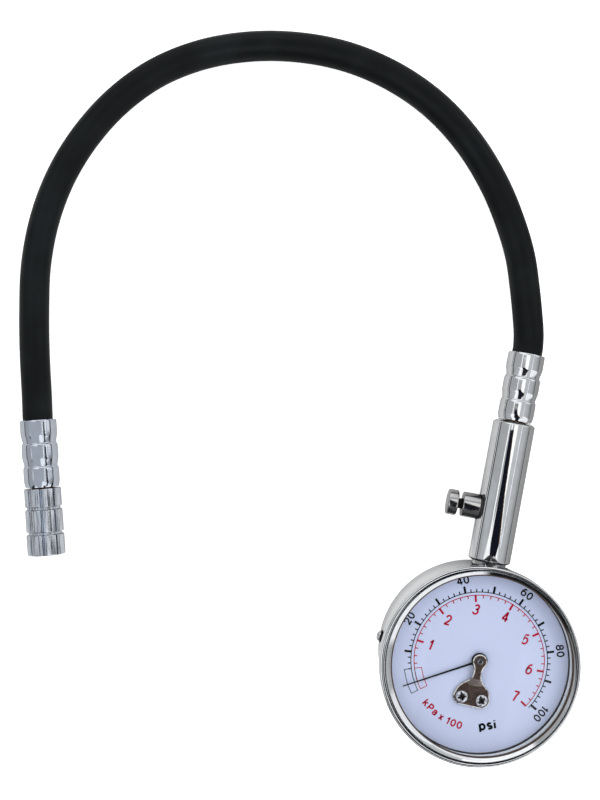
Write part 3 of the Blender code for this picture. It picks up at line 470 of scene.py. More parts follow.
def dial_looks():
    """The enamel, its two inks, the satin ring round it and the lens over it."""
    dial = Look("dial_enamel", (0.54, 0.60, 0.80), 0.45, 0.0, Specular_IOR_Level=0.2)
    speck = dial.noise(3.0, 4.0)
    cloud = dial.noise(0.05, 3.0)
    uneven = dial.maths("ADD", dial.maths("MULTIPLY", speck, 0.6), dial.maths("MULTIPLY", cloud, 0.4))
    dial.colour(uneven, (0.515, 0.570, 0.765), (0.555, 0.615, 0.815))
    dial.roughness(speck, 0.40, 0.52)
    dial.bump(speck, 0.003)

    ring = Look("ring_satin", (0.80, 0.81, 0.83), 0.35, 0.1)
    streak = ring.noise(1.0, 4.0, (1, 1, 8))
    ring.colour(streak, (0.70, 0.73, 0.75), (0.82, 0.86, 0.88))
    ring.roughness(streak, 0.28, 0.45)
    ring.bump(streak, 0.004)

    lens = Look("lens_glass", (0.985, 0.99, 0.995), 0.0, 0.0, Transmission_Weight=1.0, IOR=1.3,
                Specular_IOR_Level=0.2)
    lens.bump(lens.noise(0.12, 3.0), 0.0006)

    looks = {"dial": dial.material, "ring": ring.material, "lens": lens.material}
    for name, dark, light in (("print_black", (0.002, 0.003, 0.004), (0.010, 0.011, 0.015)),
                              ("print_red", (0.37, 0.002, 0.022), (0.47, 0.005, 0.036))):
        ink = Look(name, dark, 0.5, 0.0, Specular_IOR_Level=0.1)
        patch = ink.noise(6.0, 4.0)
        ink.colour(patch, dark, light)
        ink.roughness(patch, 0.42, 0.58)
        looks[name] = ink.material
    return looks


def make_looks():
    return {**plated_looks(), **brass_and_bronze_looks(), **dull_looks(), **dial_looks(),
            "rubber": hose_look()}


# ---------------------------------------------------------------- hose

HOSE_ROUTE = [
    (0.0, 87.0, 8.6), (0.0, 87.9, 8.6), (0.0, 89.0, 8.6), (-0.5, 93.0, 8.6), (-1.8, 98.5, 8.2),
    (-3.8, 106.0, 7.3),
    (-6.6, 115.0, 6.0), (-11.0, 124.2, 4.9), (-17.5, 134.4, 4.4), (-27.0, 145.0, 4.4), (-38.7, 153.8, 4.4),
    (-52.0, 159.8, 4.4), (-66.0, 162.9, 4.4), (-80.0, 163.1, 4.4), (-94.0, 160.8, 4.4), (-107.5, 155.9, 4.4),
    (-119.5, 148.3, 4.4), (-129.0, 138.4, 4.4), (-136.1, 127.0, 4.4), (-141.0, 114.6, 4.4),
    (-143.5, 101.5, 4.4), (-143.7, 88.0, 4.4), (-141.8, 74.5, 4.5), (-139.2, 61.8, 5.0),
    (-136.2, 49.5, 5.5), (-135.15, 44.8, 5.6), (-134.9, 43.8, 5.6), (-134.7, 43.1, 5.6),
]


def make_hose(looks):
    curve = bpy.data.curves.new("rubber_hose", "CURVE")
    curve.dimensions = "3D"
    curve.bevel_depth = 4.3 * MM
    curve.bevel_resolution = 10
    curve.use_fill_caps = True
    line = smooth_line(HOSE_ROUTE, 10)
    spline = curve.splines.new("POLY")
    spline.points.add(len(line) - 1)
    for point, place in zip(spline.points, line):
        point.co = (*(place * MM), 1.0)
    curve.materials.append(looks["rubber"])
    hose = bpy.data.objects.new("rubber_hose", curve)
    bpy.context.collection.objects.link(hose)
    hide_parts("hose")
    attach(hose, "gauge")
    return hose


# ---------------------------------------------------------------- dial head

def make_case(looks):
    outer, inner, corner = 26.4, 25.6, 2.0
    profile = rounded([
        (outer, 24.3, 0.1), (outer, 0.0, corner), (20.6, 0.0, 0.3), (20.2, 0.25, 0.3), (0, 0.25),
        (0, 0.8), (inner, 0.8, 1.2), (inner, 24.3, 0.1)], 8)
    case = turned("case_shell", profile, looks["chrome_case"], "gauge", ["case_can"], sides=192)
    holes = [(rod(5.05, 20, 32), STEM)]
    for side in (-1, 1):
        holes.append((rod(1.3, 22, 30, 40), DIAL_TURN @ along((side, 0, 0), (0, 0, SIDE_SCREW_Z))))
    cut(case, holes)


def lip_reach(angle, radius):
    """The rim and its seal were rolled in a little off centre."""
    share = min(1.0, max(0.0, (27.1 - radius) / 1.9))
    return radius + 0.72 * share * cos(angle - radians(16))


def ring_reach(angle, radius):
    """The spacer ring lies a little to the right of the case's middle."""
    return radius + 0.25 * cos(angle - radians(35)) * min(1.0, max(0.0, (25.5 - radius) * 4))


def make_front(looks):
    """The bezel with its roll, crease and flange, the lens in its rubber channel, and the spacer ring."""
    roll = [(26.98 + 0.47 * cos(radians(a)), 27.0 + 0.50 * sin(radians(a))) for a in range(0, 171, 10)]
    crease = [(26.50, 26.95), (26.44, 26.62, 0.04), (26.30, 26.62, 0.04), (26.22, 27.1), (26.06, 27.42, 0.07)]
    flange = [(25.08, 26.66, 0.05), (25.02, 26.56, 0.04), (25.06, 26.47, 0.04), (26.55, 26.47, 0.05)]
    skirt = [(26.55, 22.45, 0.1), (27.15, 22.45, 0.15), (27.45, 22.75, 0.3), (27.45, 24.2, 0.2),
             (27.3, 24.45, 0.2),
             (27.45, 24.7, 0.2), (27.45, 25.9)]
    bezel = roll + rounded(crease + flange + skirt, 6, closed=False)
    turned("bezel", bezel, looks["chrome_bezel"], "gauge", ["bezel_ring"], sides=256,
           reach=lip_reach)
    low, high = LENS_Z
    pane = rounded([(0, high), (26.3, high, 0.12), (26.3, low, 0.12), (0, low)], 3, closed=False)
    lens = turned("lens_pane", pane, looks["lens"], "gauge", ["lens"], sides=128)
    lens.visible_shadow = False
    channel = rounded([
        (24.72, 26.34, 0.05), (24.72, 26.56, 0.12), (25.0, 26.62, 0.1), (25.08, 26.43, 0.05),
        (26.48, 26.43, 0.05), (26.48, 24.65, 0.1), (24.85, 24.65, 0.15), (24.85, 25.12, 0.1),
        (26.36, 25.12), (26.36, 26.34)], 4)
    turned("lens_seal", channel, looks["gasket"], "gauge", ["lens_gasket"], sides=192,
           reach=lip_reach)
    foot_top = 22.3
    spacer = rounded([
        (25.5, 24.6, 0.08), (25.5, 21.02), (24.66, 21.02), (24.84, 22.2), (24.96, foot_top, 0.05),
        (25.0, 24.6, 0.08)], 3)
    ring = turned("spacer_ring", spacer, [looks["ring"], looks["painted_shade"]], "gauge", ["dial_ring"],
                  sides=192, reach=ring_reach)
    # Below foot_top the ring takes the near-black look: a painted shadow in the gap where the ring meets the
    # dial.
    for face in ring.data.polygons:
        if face.center.z < foot_top * MM:
            face.material_index = 1


SCALE_ZERO = 208.7
SCALE_STEP = 2.372           # degrees for each psi
PSI_PER_BAR = 14.5038


def black_angle(psi):
    return SCALE_ZERO - SCALE_STEP * psi


def red_angle(hundreds):
    return SCALE_ZERO - SCALE_STEP * PSI_PER_BAR * hundreds


def bend(x, y, across, up, start, end, step=15):
    """Points of an elliptical arc in a letter's box."""
    count = max(2, ceil(abs(end - start) / step))
    return [(x + across * cos(radians(start + (end - start) * k / count)),
             y + up * sin(radians(start + (end - start) * k / count))) for k in range(count + 1)]


# Centre lines in a box that is 1 wide and 1 high, with the box's width for a height of 1.
LETTERS = {
    "0": (0.56, [bend(0.5, 0.5, 0.5, 0.5, 90, 450)]),
    "1": (0.30, [[(0.0, 0.74), (0.55, 0.82), (0.9, 1.02)], [(0.9, 1.06), (0.9, -0.07)]]),
    "2": (0.55, [bend(0.5, 0.70, 0.48, 0.30, 170, -25) + [(0.78, 0.42), (0.2, 0.13), (0.0, 0.0)],
                 [(-0.08, 0.0), (1.06, 0.0)]]),
    "3": (0.55, [bend(0.48, 0.76, 0.44, 0.24, 160, -90) + [(0.34, 0.52)],
                 bend(0.48, 0.26, 0.52, 0.27, 90, -168)]),
    "4": (0.58, [[(0.70, 1.02), (0.0, 0.26)], [(-0.08, 0.24), (1.12, 0.24)], [(0.74, 1.06), (0.74, -0.07)]]),
    "5": (0.55, [[(0.96, 1.0), (0.18, 1.0)],
                 [(0.22, 1.0), (0.12, 0.50)] + bend(0.46, 0.33, 0.54, 0.34, 125, -148)]),
    "6": (0.56, [bend(0.5, 0.31, 0.5, 0.32, 90, 450), bend(0.62, 0.36, 0.62, 0.64, 185, 70)]),
    "7": (0.55, [[(-0.04, 1.0), (1.06, 1.0)], [(1.0, 0.98), (0.62, 0.55), (0.40, -0.07)]]),
    "8": (0.56, [bend(0.5, 0.75, 0.44, 0.25, 90, 450), bend(0.5, 0.26, 0.5, 0.27, 90, 450)]),
    "k": (0.46, [[(0.0, 1.06), (0.0, -0.07)], [(1.0, 0.72), (0.05, 0.26)], [(0.38, 0.44), (1.08, -0.05)]]),
    "P": (0.54, [[(0.0, 1.06), (0.0, -0.07)], [(0.0, 1.0), (0.5, 1.0)] + bend(0.58, 0.72, 0.44, 0.28, 90, -90)
                 + [(0.0, 0.44)]]),
    "a": (0.48, [bend(0.48, 0.50, 0.46, 0.24, 165, 0) + [(0.94, -0.05)],
                 bend(0.44, 0.21, 0.44, 0.21, 90, 450)]),
    "x": (0.46, [[(0.0, 0.75), (1.0, -0.05)], [(1.0, 0.75), (0.0, -0.05)]]),
    "p": (0.50, [[(0.0, 0.79), (0.0, -0.33)], bend(0.5, 0.36, 0.5, 0.37, 90, 450)]),
    "s": (0.44, [bend(0.48, 0.54, 0.44, 0.19, 30, 255, 20) + bend(0.5, 0.17, 0.46, 0.18, 70, -150, 20)]),
    "i": (0.02, [[(0.0, 0.77), (0.0, -0.07)], [(0.0, 0.92), (0.0, 1.07)]]),
}


def write(bm, text, height, weight, centre, up, widen=1.0, slant=0.0, track=1.0):
    """Prints a word on the dial, with its middle at a point and its tops towards an angle."""
    body = height - weight
    run, places = 0.0, []
    for letter in text:
        width = LETTERS[letter][0] * body * widen
        places.append((letter, run, width))
        run += width + weight * (1 + track)
    shift = (run - weight * (1 + track)) / 2
    turn = radians(up - 90)
    for letter, start, width in places:
        for line in LETTERS[letter][1]:
            shape = []
            for x, y in line:
                high = (y - 0.5) * body
                flat = start + x * width - shift + slant * high
                shape.append((centre[0] + flat * cos(turn) - high * sin(turn),
                              centre[1] + flat * sin(turn) + high * cos(turn)))
            ring = shape[0] == shape[-1] or (Vector(shape[0]) - Vector(shape[-1])).length < 1e-6
            stroke(bm, shape[:-1] if ring else shape, weight, PRINT_Z, INK, closed=ring)


def write_round(bm, text, height, weight, radius, first, last, widen):
    """Prints a word along an arc, with its tops towards the dial's middle."""
    shares = {"k": 0.98, "P": 1.0, "a": 0.98, "x": 0.95, "1": 0.80, "0": 1.0}
    gaps = iter((0.22, 0.26))
    widths = [next(gaps) if letter == " " else shares[letter] for letter in text]
    run = 0.0
    for letter, width in zip(text, widths):
        angle = first + (last - first) * (run + width / 2) / sum(widths)
        run += width
        if letter != " ":
            write(bm, letter, height, weight, polar(radius, angle), angle - 180, widen)


def stroke(bm, points, width, level, thickness, closed=False):
    """A printed line through points."""
    line = [Vector(p) for p in points]
    count = len(line)
    left, right = [], []
    for k, here in enumerate(line):
        before = line[k - 1] if (k or closed) else here
        after = line[(k + 1) % count] if (k < count - 1 or closed) else here
        one, two = (here - before), (after - here)
        one = one.normalized() if one.length > 1e-9 else two.normalized()
        two = two.normalized() if two.length > 1e-9 else one
        way = (one + two).normalized()
        side = Vector((-way.y, way.x)) * (width / 2 / max(0.3, way.dot(one)))
        left.append(here + side)
        right.append(here - side)
    rows = [[bm.verts.new((p.x, p.y, z)) for p in edge]
            for edge in (left, right) for z in (level, level + thickness)]
    for k in range(count if closed else count - 1):
        n = (k + 1) % count
        bm.faces.new([rows[1][k], rows[1][n], rows[3][n], rows[3][k]])
        bm.faces.new([rows[0][k], rows[2][k], rows[2][n], rows[0][n]])
        bm.faces.new([rows[0][k], rows[0][n], rows[1][n], rows[1][k]])
        bm.faces.new([rows[2][k], rows[3][k], rows[3][n], rows[2][n]])
    if not closed:
        for k in (0, count - 1):
            bm.faces.new([rows[0][k], rows[1][k], rows[3][k], rows[2][k]])


def arc(radius, start, end, step=1.0):
    count = max(2, ceil(abs(end - start) / step))
    return [polar(radius, start + (end - start) * k / count) for k in range(count + 1)]


INK = 0.02                    # the print's thickness
PRINT_Z = DIAL_Z[1] - 0.004
BLACK_R, RED_R = 18.72, 17.86


def ticks(bm, angle_of, numbers, near, long, short):
    """Tick marks from a scale's arc: long is (radius, width) at each fifth or tenth number."""
    for number, main in numbers:
        far, width = long if main else short
        angle = angle_of(number)
        stroke(bm, [polar(near, angle), polar(far, angle)], width, PRINT_Z, INK)


def zero_box(bm, near, far):
    outline = arc(near, black_angle(-4), black_angle(4)) + arc(far, black_angle(4), black_angle(-4))
    stroke(bm, outline, 0.2, PRINT_Z, INK, closed=True)


def make_dial(looks):
    screw_x, screw_y = BRIDGE_SCREWS
    holes = [circle(1.6, 48)] + [circle(1.2, 40, (x, screw_y)) for x in (-screw_x, screw_x)]
    bm = bmesh.new()
    slab(bm, circle(25.4, 160, CASE_CENTRE), holes, *DIAL_Z)
    piece("dial_face", finish_mesh(bm, "dial_face", DIAL), looks["dial"], "gauge", ["dial_plate"])

    bm = bmesh.new()
    stroke(bm, arc(BLACK_R, black_angle(0), black_angle(101.3)), 0.25, PRINT_Z, INK)
    marks = [(psi, psi % 10 == 0) for psi in range(4, 101, 2)]
    ticks(bm, black_angle, marks, BLACK_R - 0.05, (20.65, 0.62), (19.6, 0.32))
    zero_box(bm, BLACK_R, 20.65)
    for psi in (20, 40, 60, 80, 100):
        angle = black_angle(psi)
        write(bm, str(psi), 2.25, 0.42, polar(22.35, angle), angle, 1.15, track=0.6)
    psi_angle = 289.4
    write(bm, "psi", 2.6, 0.62, polar(17.9, psi_angle), psi_angle - 180, 1.3, track=0.35)
    piece("dial_print_black", finish_mesh(bm, "dial_print_black", DIAL), looks["print_black"], "gauge")

    bm = bmesh.new()
    stroke(bm, arc(RED_R, red_angle(0), red_angle(7)), 0.23, PRINT_Z, INK)
    marks = [(fifth / 5, fifth % 5 == 0) for fifth in range(2, 36)]
    ticks(bm, red_angle, marks, RED_R + 0.05, (16.0, 0.58), (17.0, 0.29))
    zero_box(bm, RED_R, 15.9)
    for number in range(1, 8):
        write(bm, str(number), 3.0, 0.50, polar(13.95, red_angle(number)), 90, 0.92, 0.17)
    write_round(bm, "kPa x 100", 2.15, 0.42, 18.55, 228.2, 268.0, 1.12)
    piece("dial_print_red", finish_mesh(bm, "dial_print_red", DIAL), looks["print_red"], "gauge")


def cross(reach, width, low, high, turn):
    """A plus-shaped body with rounded inner corners."""
    half = width / 2
    outline = []
    for arm in range(4):
        angle = turn + 90 * arm
        spread = degrees(atan2(half, reach))
        outline += [polar(hypot(reach, half), angle - spread), polar(hypot(reach, half), angle + spread)]
        outline.append(polar(half * sqrt(2), angle + 45))
    bm = bmesh.new()
    slab(bm, outline, [], low, high)
    return bm


def darken_recess(screw, look, matrix, reach, floor):
    """Paints shade into a cross recess: its floor and the walls on one side go near-black."""
    screw.data.materials.append(look)
    back = matrix.inverted() @ Matrix.Scale(1 / MM, 4)
    turn = matrix.inverted().to_3x3()
    for face in screw.data.polygons:
        centre, normal = back @ face.center, turn @ face.normal
        # Painted shade: the recess floor and its walls on the +x side take the dark look.
        inside = hypot(centre.x, centre.y) < reach + 0.05 and centre.z > floor - 0.02
        if inside and (abs(centre.z - floor) < 0.03 or normal.z < 0.3 and centre.x > 0):
            face.material_index = 1


def make_side_screws(looks):
    for side, sign in (("left", -1), ("right", 1)):
        matrix = DIAL_TURN @ along((sign, 0, 0), (0, 0, SIDE_SCREW_Z))
        turned(f"side_washer_{side}", sleeve(1.3, 1.8, 26.5, 26.9, 0.12), looks["black"], "gauge",
               [f"case_screw_washer_{side}"], matrix, 48)
        head = rounded([(0, 27.95), (0.9, 27.9, 0.5), (1.5, 27.4, 0.4), (1.5, 27.0, 0.08), (1.0, 27.0),
                        (1.0, 22.6, 0.1), (0, 22.6)], 5, closed=False)
        screw = turned(f"side_screw_{side}", head, looks["chrome_screw"], "gauge",
                       [f"case_screw_{side}"], matrix, 48)
        reach, floor = 0.9, 27.35
        cut(screw, [(cross(reach, 0.34, floor, 30, 31), matrix)])
        darken_recess(screw, looks["painted_shade"], matrix, reach, floor)


def inset(outline, distance):
    """An outline moved inwards."""
    count = len(outline)
    area = sum(a[0] * b[1] - b[0] * a[1] for a, b in zip(outline, outline[1:] + outline[:1]))
    distance = distance if area > 0 else -distance
    moved = []
    for k, here in enumerate(outline):
        way = (Vector(outline[(k + 1) % count]) - Vector(outline[k - 1])).normalized()
        moved.append((here[0] - way.y * distance, here[1] + way.x * distance))
    return moved


def edged_plate(bm, outline, steps):
    """A plate whose edge goes through (inset, height) steps from its bottom to its top."""
    rings = [[bm.verts.new((x, y, height)) for x, y in inset(outline, distance)]
             for distance, height in steps]
    for low, high in zip(rings, rings[1:]):
        for k in range(len(outline)):
            n = (k + 1) % len(outline)
            bm.faces.new([low[k], low[n], high[n], high[k]])
    for ring in (rings[0], rings[-1]):
        for triangle in tessellate_polygon([[v.co for v in ring]]):
            bm.faces.new([ring[k] for k in triangle])


BEND_LOW, BEND_HIGH, BEND_CURVE = -7.0, -4.9, 0.10
BRIDGE_FOOT_Z = (21.15, 21.95)
BRIDGE_HEAD_Z = (22.5, 23.2)


def bridge_outline():
    right = [polar(1.95, a) for a in range(90, -41, -10)]
    right += [(1.22, -1.95), (1.12, -3.2), (1.22, -4.3), (1.75, -5.35), (2.7, -6.3), (3.75, -7.3),
              (4.6, -8.5)]
    right += [polar(2.3, a, BRIDGE_SCREWS) for a in range(30, -81, -10)]
    right = [tuple(p) for p in smooth_line(right, 3)]
    return right[1:][::-1] + [right[0]] + [(-x, y) for x, y in right[1:]]


def split(bm, place, across):
    bmesh.ops.bisect_plane(bm, geom=bm.verts[:] + bm.edges[:] + bm.faces[:], dist=1e-5, plane_co=place,
                           plane_no=across)


def bridge_mesh():
    """A plate from 0 to 1 high, cut into strips, then set low at its foot and high at its head."""
    bm = bmesh.new()
    edged_plate(bm, bridge_outline(), [(0.06, 0.0), (0.0, 0.1), (0.0, 0.72), (0.08, 0.92), (0.26, 1.0)])
    for k in range(-9, 10):
        split(bm, (k * 0.5, 0, 0), (1, 0, 0))
    for vert in bm.verts:
        vert.co.y -= BEND_CURVE * vert.co.x ** 2
    for level in (BEND_LOW, BEND_LOW + 0.12, BEND_HIGH - 0.12, BEND_HIGH):
        split(bm, (0, level, 0), (0, 1, 0))
    bm.normal_update()
    for face in bm.faces:
        middle = face.calc_center_median()
        on_top = middle.z > 0.99
        # The top of the bend takes the lighter bronze: a painted highlight.
        if on_top and BEND_LOW < middle.y < BEND_HIGH:
            face.material_index = 2
        elif middle.z > 0.73 and not on_top:
            face.material_index = 1
    for vert in bm.verts:
        rise = min(max((vert.co.y - BEND_LOW) / (BEND_HIGH - BEND_LOW), 0.0), 1.0)
        low, high = (foot + (head - foot) * rise for foot, head in zip(BRIDGE_FOOT_Z, BRIDGE_HEAD_Z))
        vert.co.y += BEND_CURVE * vert.co.x ** 2
        vert.co.z = low + (high - low) * vert.co.z
    return finish_mesh(bm, "bridge_plate", DIAL)


def make_bridge(looks):
    """The stamped bridge over the pointer's hub, with its bush and two screws."""
    screw_x, screw_y = BRIDGE_SCREWS
    bridge = piece("bridge_plate", bridge_mesh(), [looks["bronze"], looks["sheared"], looks["bronze_bend_highlight"]],
                   "gauge", ["pointer_bridge"])
    cut(bridge, [(rod(0.85, 21, 26), DIAL)]
        + [(rod(1.05, 20, 24, 40), DIAL @ Matrix.Translation((x, screw_y, 0))) for x in (-screw_x, screw_x)])
    turned("bridge_bush", sleeve(0.42, 0.80, 22.45, 23.4, 0.14), looks["chrome_screw"], "gauge",
           ["bridge_bushing"], DIAL, 48)
    low, end = BRIDGE_FOOT_Z[1] + 0.1, 16.5
    head = rounded([
        (0, low + 1.05), (0.9, low + 1.0, 0.6), (1.6, low + 0.72, 0.45), (1.75, low + 0.2, 0.15),
        (1.75, low, 0.05), (0.85, low), (0.85, end, 0.1), (0, end)], 5, closed=False)
    reach, floor = 1.12, low + 0.3
    for side, sign, turn in (("left", -1, 20), ("right", 1, 52)):
        matrix = DIAL @ Matrix.Translation((sign * screw_x, screw_y, 0))
        screw = turned(f"bridge_bolt_{side}", head, looks["chrome_screw"], "gauge",
                       [f"bridge_screw_{side}"], matrix, 64)
        cut(screw, [(cross(reach, 0.40, floor, low + 3, turn), matrix)])
        darken_recess(screw, looks["painted_shade"], matrix, reach, floor)


def make_pointer(looks):
    """The needle: a thin tapered blade that grows out of its hub disc."""
    needle = DIAL @ Matrix.Rotation(radians(210.5), 4, "Z")
    edge = [(1.0, 0.34), (2.6, 0.30), (4.2, 0.26), (12.0, 0.22), (22.1, 0.15)]
    blade = [(x, -y) for x, y in edge] + edge[::-1]
    bm = bmesh.new()
    slab(bm, blade, [], 21.75, 21.95)
    hub = rounded([(0.62, 22.3, 0.05), (1.9, 22.3, 0.12), (2.2, 22.1, 0.1), (2.2, 21.5, 0.1),
                   (0.62, 21.5, 0.05)], 4)
    lathe(bm, hub, 96)
    piece("needle", finish_mesh(bm, "needle", needle), looks["black"], "pointer",
          ["pointer_needle"])


# ---------------------------------------------------------------- stem, bleed valve, hose ends, chuck

def make_stem(looks):
    low, high = 26.8, 67.6
    profile = rounded([
        (5.2, high, 0.2), (6.0, high - 0.5, 0.5), (6.0, low + 0.75, 0.5), (5.3, low + 0.3, 0.2),
        (5.0, low + 0.3), (4.2, low + 0.4), (4.2, 34.5), (3.0, 35.2), (3.0, 57.5), (3.6, 57.8),
        (3.6, high - 0.3), (3.9, high, 0.1)], 5)
    stem = turned("stem_tube", profile, looks["chrome_stem"], "gauge", ["stem_body"], STEM, 192)
    cut(stem, [(rod(2.6, 1.0, 12), BLEED), (rod(3.85, 4.9, 12, 96), BLEED)])


def make_bleed(looks):
    boss = rounded([(1.75, 10.6, 0.1), (3.55, 10.6, 0.35), (3.55, 5.65, 0.1), (2.35, 5.65), (2.35, 3.4, 0.1),
                    (1.15, 3.4), (1.15, 8.5), (1.75, 8.5)], 5)
    turned("bleed_body", boss, looks["nickel"], "gauge", ["bleed_boss"], BLEED, 128)
    head_low, end = 11.9, 1.8
    button = rounded([(0, 14.9), (3.65, 14.9, 0.55), (3.65, head_low, 0.55), (1.45, head_low, 0.1),
                      (1.45, 10.2, 0.1), (0.8, 10.2), (0.8, 2.3), (1.6, 2.3, 0.1), (1.6, end, 0.1), (0, end)],
                     6, closed=False)
    knob = turned("bleed_knob", button, [looks["nickel"], looks["painted_shade"]], "bleed_button",
                  ["bleed_button"], BLEED, 128)
    # The shank below the head takes the near-black look: painted shade under the knob and inside the boss.
    for face in knob.data.polygons:
        if end + 0.1 < -face.center.x / MM < head_low - 0.05:
            face.material_index = 1


def skin(name, rings, look, body, node, matrix):
    """A skin over a row of equal rings, closed at both ends."""
    bm = bmesh.new()
    rows = [[bm.verts.new(point) for point in ring] for ring in rings]
    for here, there in zip(rows, rows[1:]):
        for k, corner in enumerate(here):
            after = (k + 1) % len(here)
            bm.faces.new([corner, here[after], there[after], there[k]])
    bm.faces.new(rows[0])
    bm.faces.new(rows[-1])
    return piece(name, finish_mesh(bm, name, matrix), look, body, [node])


def coil(name, looks, node, matrix, radius, wire, low, high):
    """A round-wire spring along its frame's z."""
    turns, per_turn = 4.5, 24
    steps = int(turns * per_turn)
    rings = []
    for k in range(steps + 1):
        angle, level = 360 / per_turn * k, low + (high - low) * k / steps
        rings.append([(*polar(radius + out, angle), level + up) for out, up in circle(wire, 10)])
    return skin(name, rings, looks["steel"], "gauge", node, matrix)


def make_springs(looks):
    """Both springs, each on a mesh of its own; they stay clear of the parts that press on them."""
    bleed = coil("bleed_coil", looks, "bleed_spring", BLEED, 1.15, 0.2, -2.2, 1.5)
    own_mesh(bleed)
    check = coil("check_valve_coil", looks, "check_valve_spring", STEM, 2.1, 0.22, 48.65, 53.65)
    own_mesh(check)


def make_pressure_tube(looks):
    """The flattened C of the pressure tube, which rides on no body."""
    radius, middle, root, step = 20.0, 12.0, 66.0, -2.0
    section = rounded([(1.0, -3.0, 0.95), (1.0, 3.0, 0.95), (-1.0, 3.0, 0.95), (-1.0, -3.0, 0.95)], 6)
    rings = []
    for k in range(128):
        rings.append([(*polar(radius + out, root + step * k), middle + up) for out, up in section])
    tube = skin("pressure_tube", rings, looks["bronze"], None, "bourdon_tube", DIAL)
    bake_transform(tube)


FERRULE_LINE = [  # (distance from the mouth, radius), band by band
    (0.0, 5.10), (0.25, 5.21), (1.2, 5.24), (3.9, 5.24), (4.5, 5.19), (5.0, 5.06), (5.6, 4.92), (6.2, 4.80),
    (6.5, 4.76), (6.68, 4.80), (6.85, 4.95), (7.05, 5.08), (7.5, 5.16), (8.4, 5.18), (10.7, 5.17),
    (11.2, 5.12), (11.8, 4.98), (12.4, 4.85), (13.0, 4.75),
    (13.2, 4.73), (13.38, 4.78), (13.55, 4.92), (13.8, 5.03), (14.3, 5.09), (15.2, 5.1), (17.5, 5.09),
    (18.2, 5.0), (18.8, 4.86), (19.3, 4.7),
]


def ferrule(name, look, node, matrix):
    """A crimped sleeve: three bands that each narrow to a crease."""
    outer = [(p.y, p.x) for p in smooth_line(FERRULE_LINE, 6)]
    inner = rounded([(2.9, 19.3, 0.1), (2.9, 18.4), (4.5, 18.3), (4.5, 0.0, 0.15)], 3, closed=False)
    return turned(name, outer + inner, look, "gauge", [node], matrix, 160, sharp=50)


GROOVE_ANGLE = 87.1
LOBES = 8
LAND = 0.80                   # the share of each lobe that isn't groove


def collar_reach(angle, radius):
    """Lobes with a low crown, and a narrow deep groove between them."""
    if radius < 4.7:
        return radius
    turn = ((angle - radians(GROOVE_ANGLE)) * LOBES / (2 * pi)) % 1.0
    away = abs(turn - 0.5) * 2
    groove = max(0.0, (away - LAND) / (1 - LAND))
    crown = 0.06 * (1 - (away / LAND) ** 2) if away < LAND else 0.0
    return radius - 0.04 + crown - 1.05 * groove ** 1.2 * min(1.0, (radius - 4.6) / 0.5)


def make_chuck(looks):
    ferrule("ferrule_far", looks["chrome_far_shaded"], "hose_ferrule_chuck", CHUCK)
    face = 19.7
    outline = [(3.3, face, 0.0), (4.95, face, 0.1)]
    for number, (start, finish) in enumerate(((0.0, 5.2), (6.2, 12.4), (13.3, 19.2))):
        radius = 5.28 + 0.07 * number
        outline += [(radius, face + start, 0.22), (radius, face + finish, 0.22)]
        if number < 2:
            outline += [(4.78, face + finish + 0.12, 0.12), (4.78, face + finish + 0.8, 0.12)]
    end = face + 19.2
    outline[-1] = (outline[-1][0], end, 0.5)
    outline += [(4.2, end, 0.2), (3.95, end - 0.5), (3.95, face + 7.4), (4.35, face + 7.2),
                (4.35, face + 2.2), (3.3, face + 2.0)]
    turned("chuck_grip", rounded(outline, 5), looks["chrome_chuck"], "chuck_collar",
           ["chuck_collar"], CHUCK, 320, sharp=40, reach=collar_reach)


# ---------------------------------------------------------------- studio

AMBIENT = 1.20
FLOOR_MIRRORED = (0.54, 0.28)     # how mirrors see the paper to the left of the stem, and to the right of it
FLOOR_BY_CASE = 0.78              # the same, to the left and close to the case
FLOOR_TWICE = 0.07                # the same, in a mirror that is seen in another mirror
FLOOR_GLOW = 0.6
CARD_Z = 0.12
BANDS = [  # angle across the stem in degrees, from the left horizon to the right one, and brightness
    (-90, 0.70), (-87, 0.66), (-85.5, 0.05), (-80.5, 0.05), (-78.5, 0.42), (-50, 0.44), (0, 0.46), (40, 0.56),
    (62, 0.52), (80, 0.34), (86, 0.28), (87.5, 0.02), (90, 0.02),
]
BAND_TINT = (0.975, 0.99, 1.02)
DIM_TWICE = 0.15                  # how bright the studio is in a mirror that is seen in another mirror
PANELS = [  # azimuth, half width, degrees from the zenith where it begins and ends, colour
    (-104.0, 31.0, 46.0, 88.0, (0.005, 0.007, 0.007)),
    (-70.0, 54.0, 9.0, 44.0, (1.15, 1.16, 1.18)),
    (224.0, 30.0, 12.0, 44.0, (1.10, 1.11, 1.12)),
    (140.0, 24.0, 12.0, 58.0, (1.00, 1.02, 1.05)),
    (100.0, 34.0, 44.0, 80.0, (1.15, 1.16, 1.18)),
    (-44.0, 30.0, 46.0, 89.0, (1.05, 1.06, 1.08)),
    (48.0, 36.0, 50.0, 82.0, (0.95, 0.96, 0.98)),
]


def stage_mesh(name, corners, material, height=0.0):
    """A flat sheet of the studio, which isn't part of the object. Corners are (x, y) in metres."""
    mesh = bpy.data.meshes.new(name)
    mesh.from_pydata([(x, y, height) for x, y in corners], [], [list(range(len(corners)))])
    mesh.materials.append(material)
    sheet = bpy.data.objects.new(name, mesh)
    bpy.context.collection.objects.link(sheet)
    return sheet


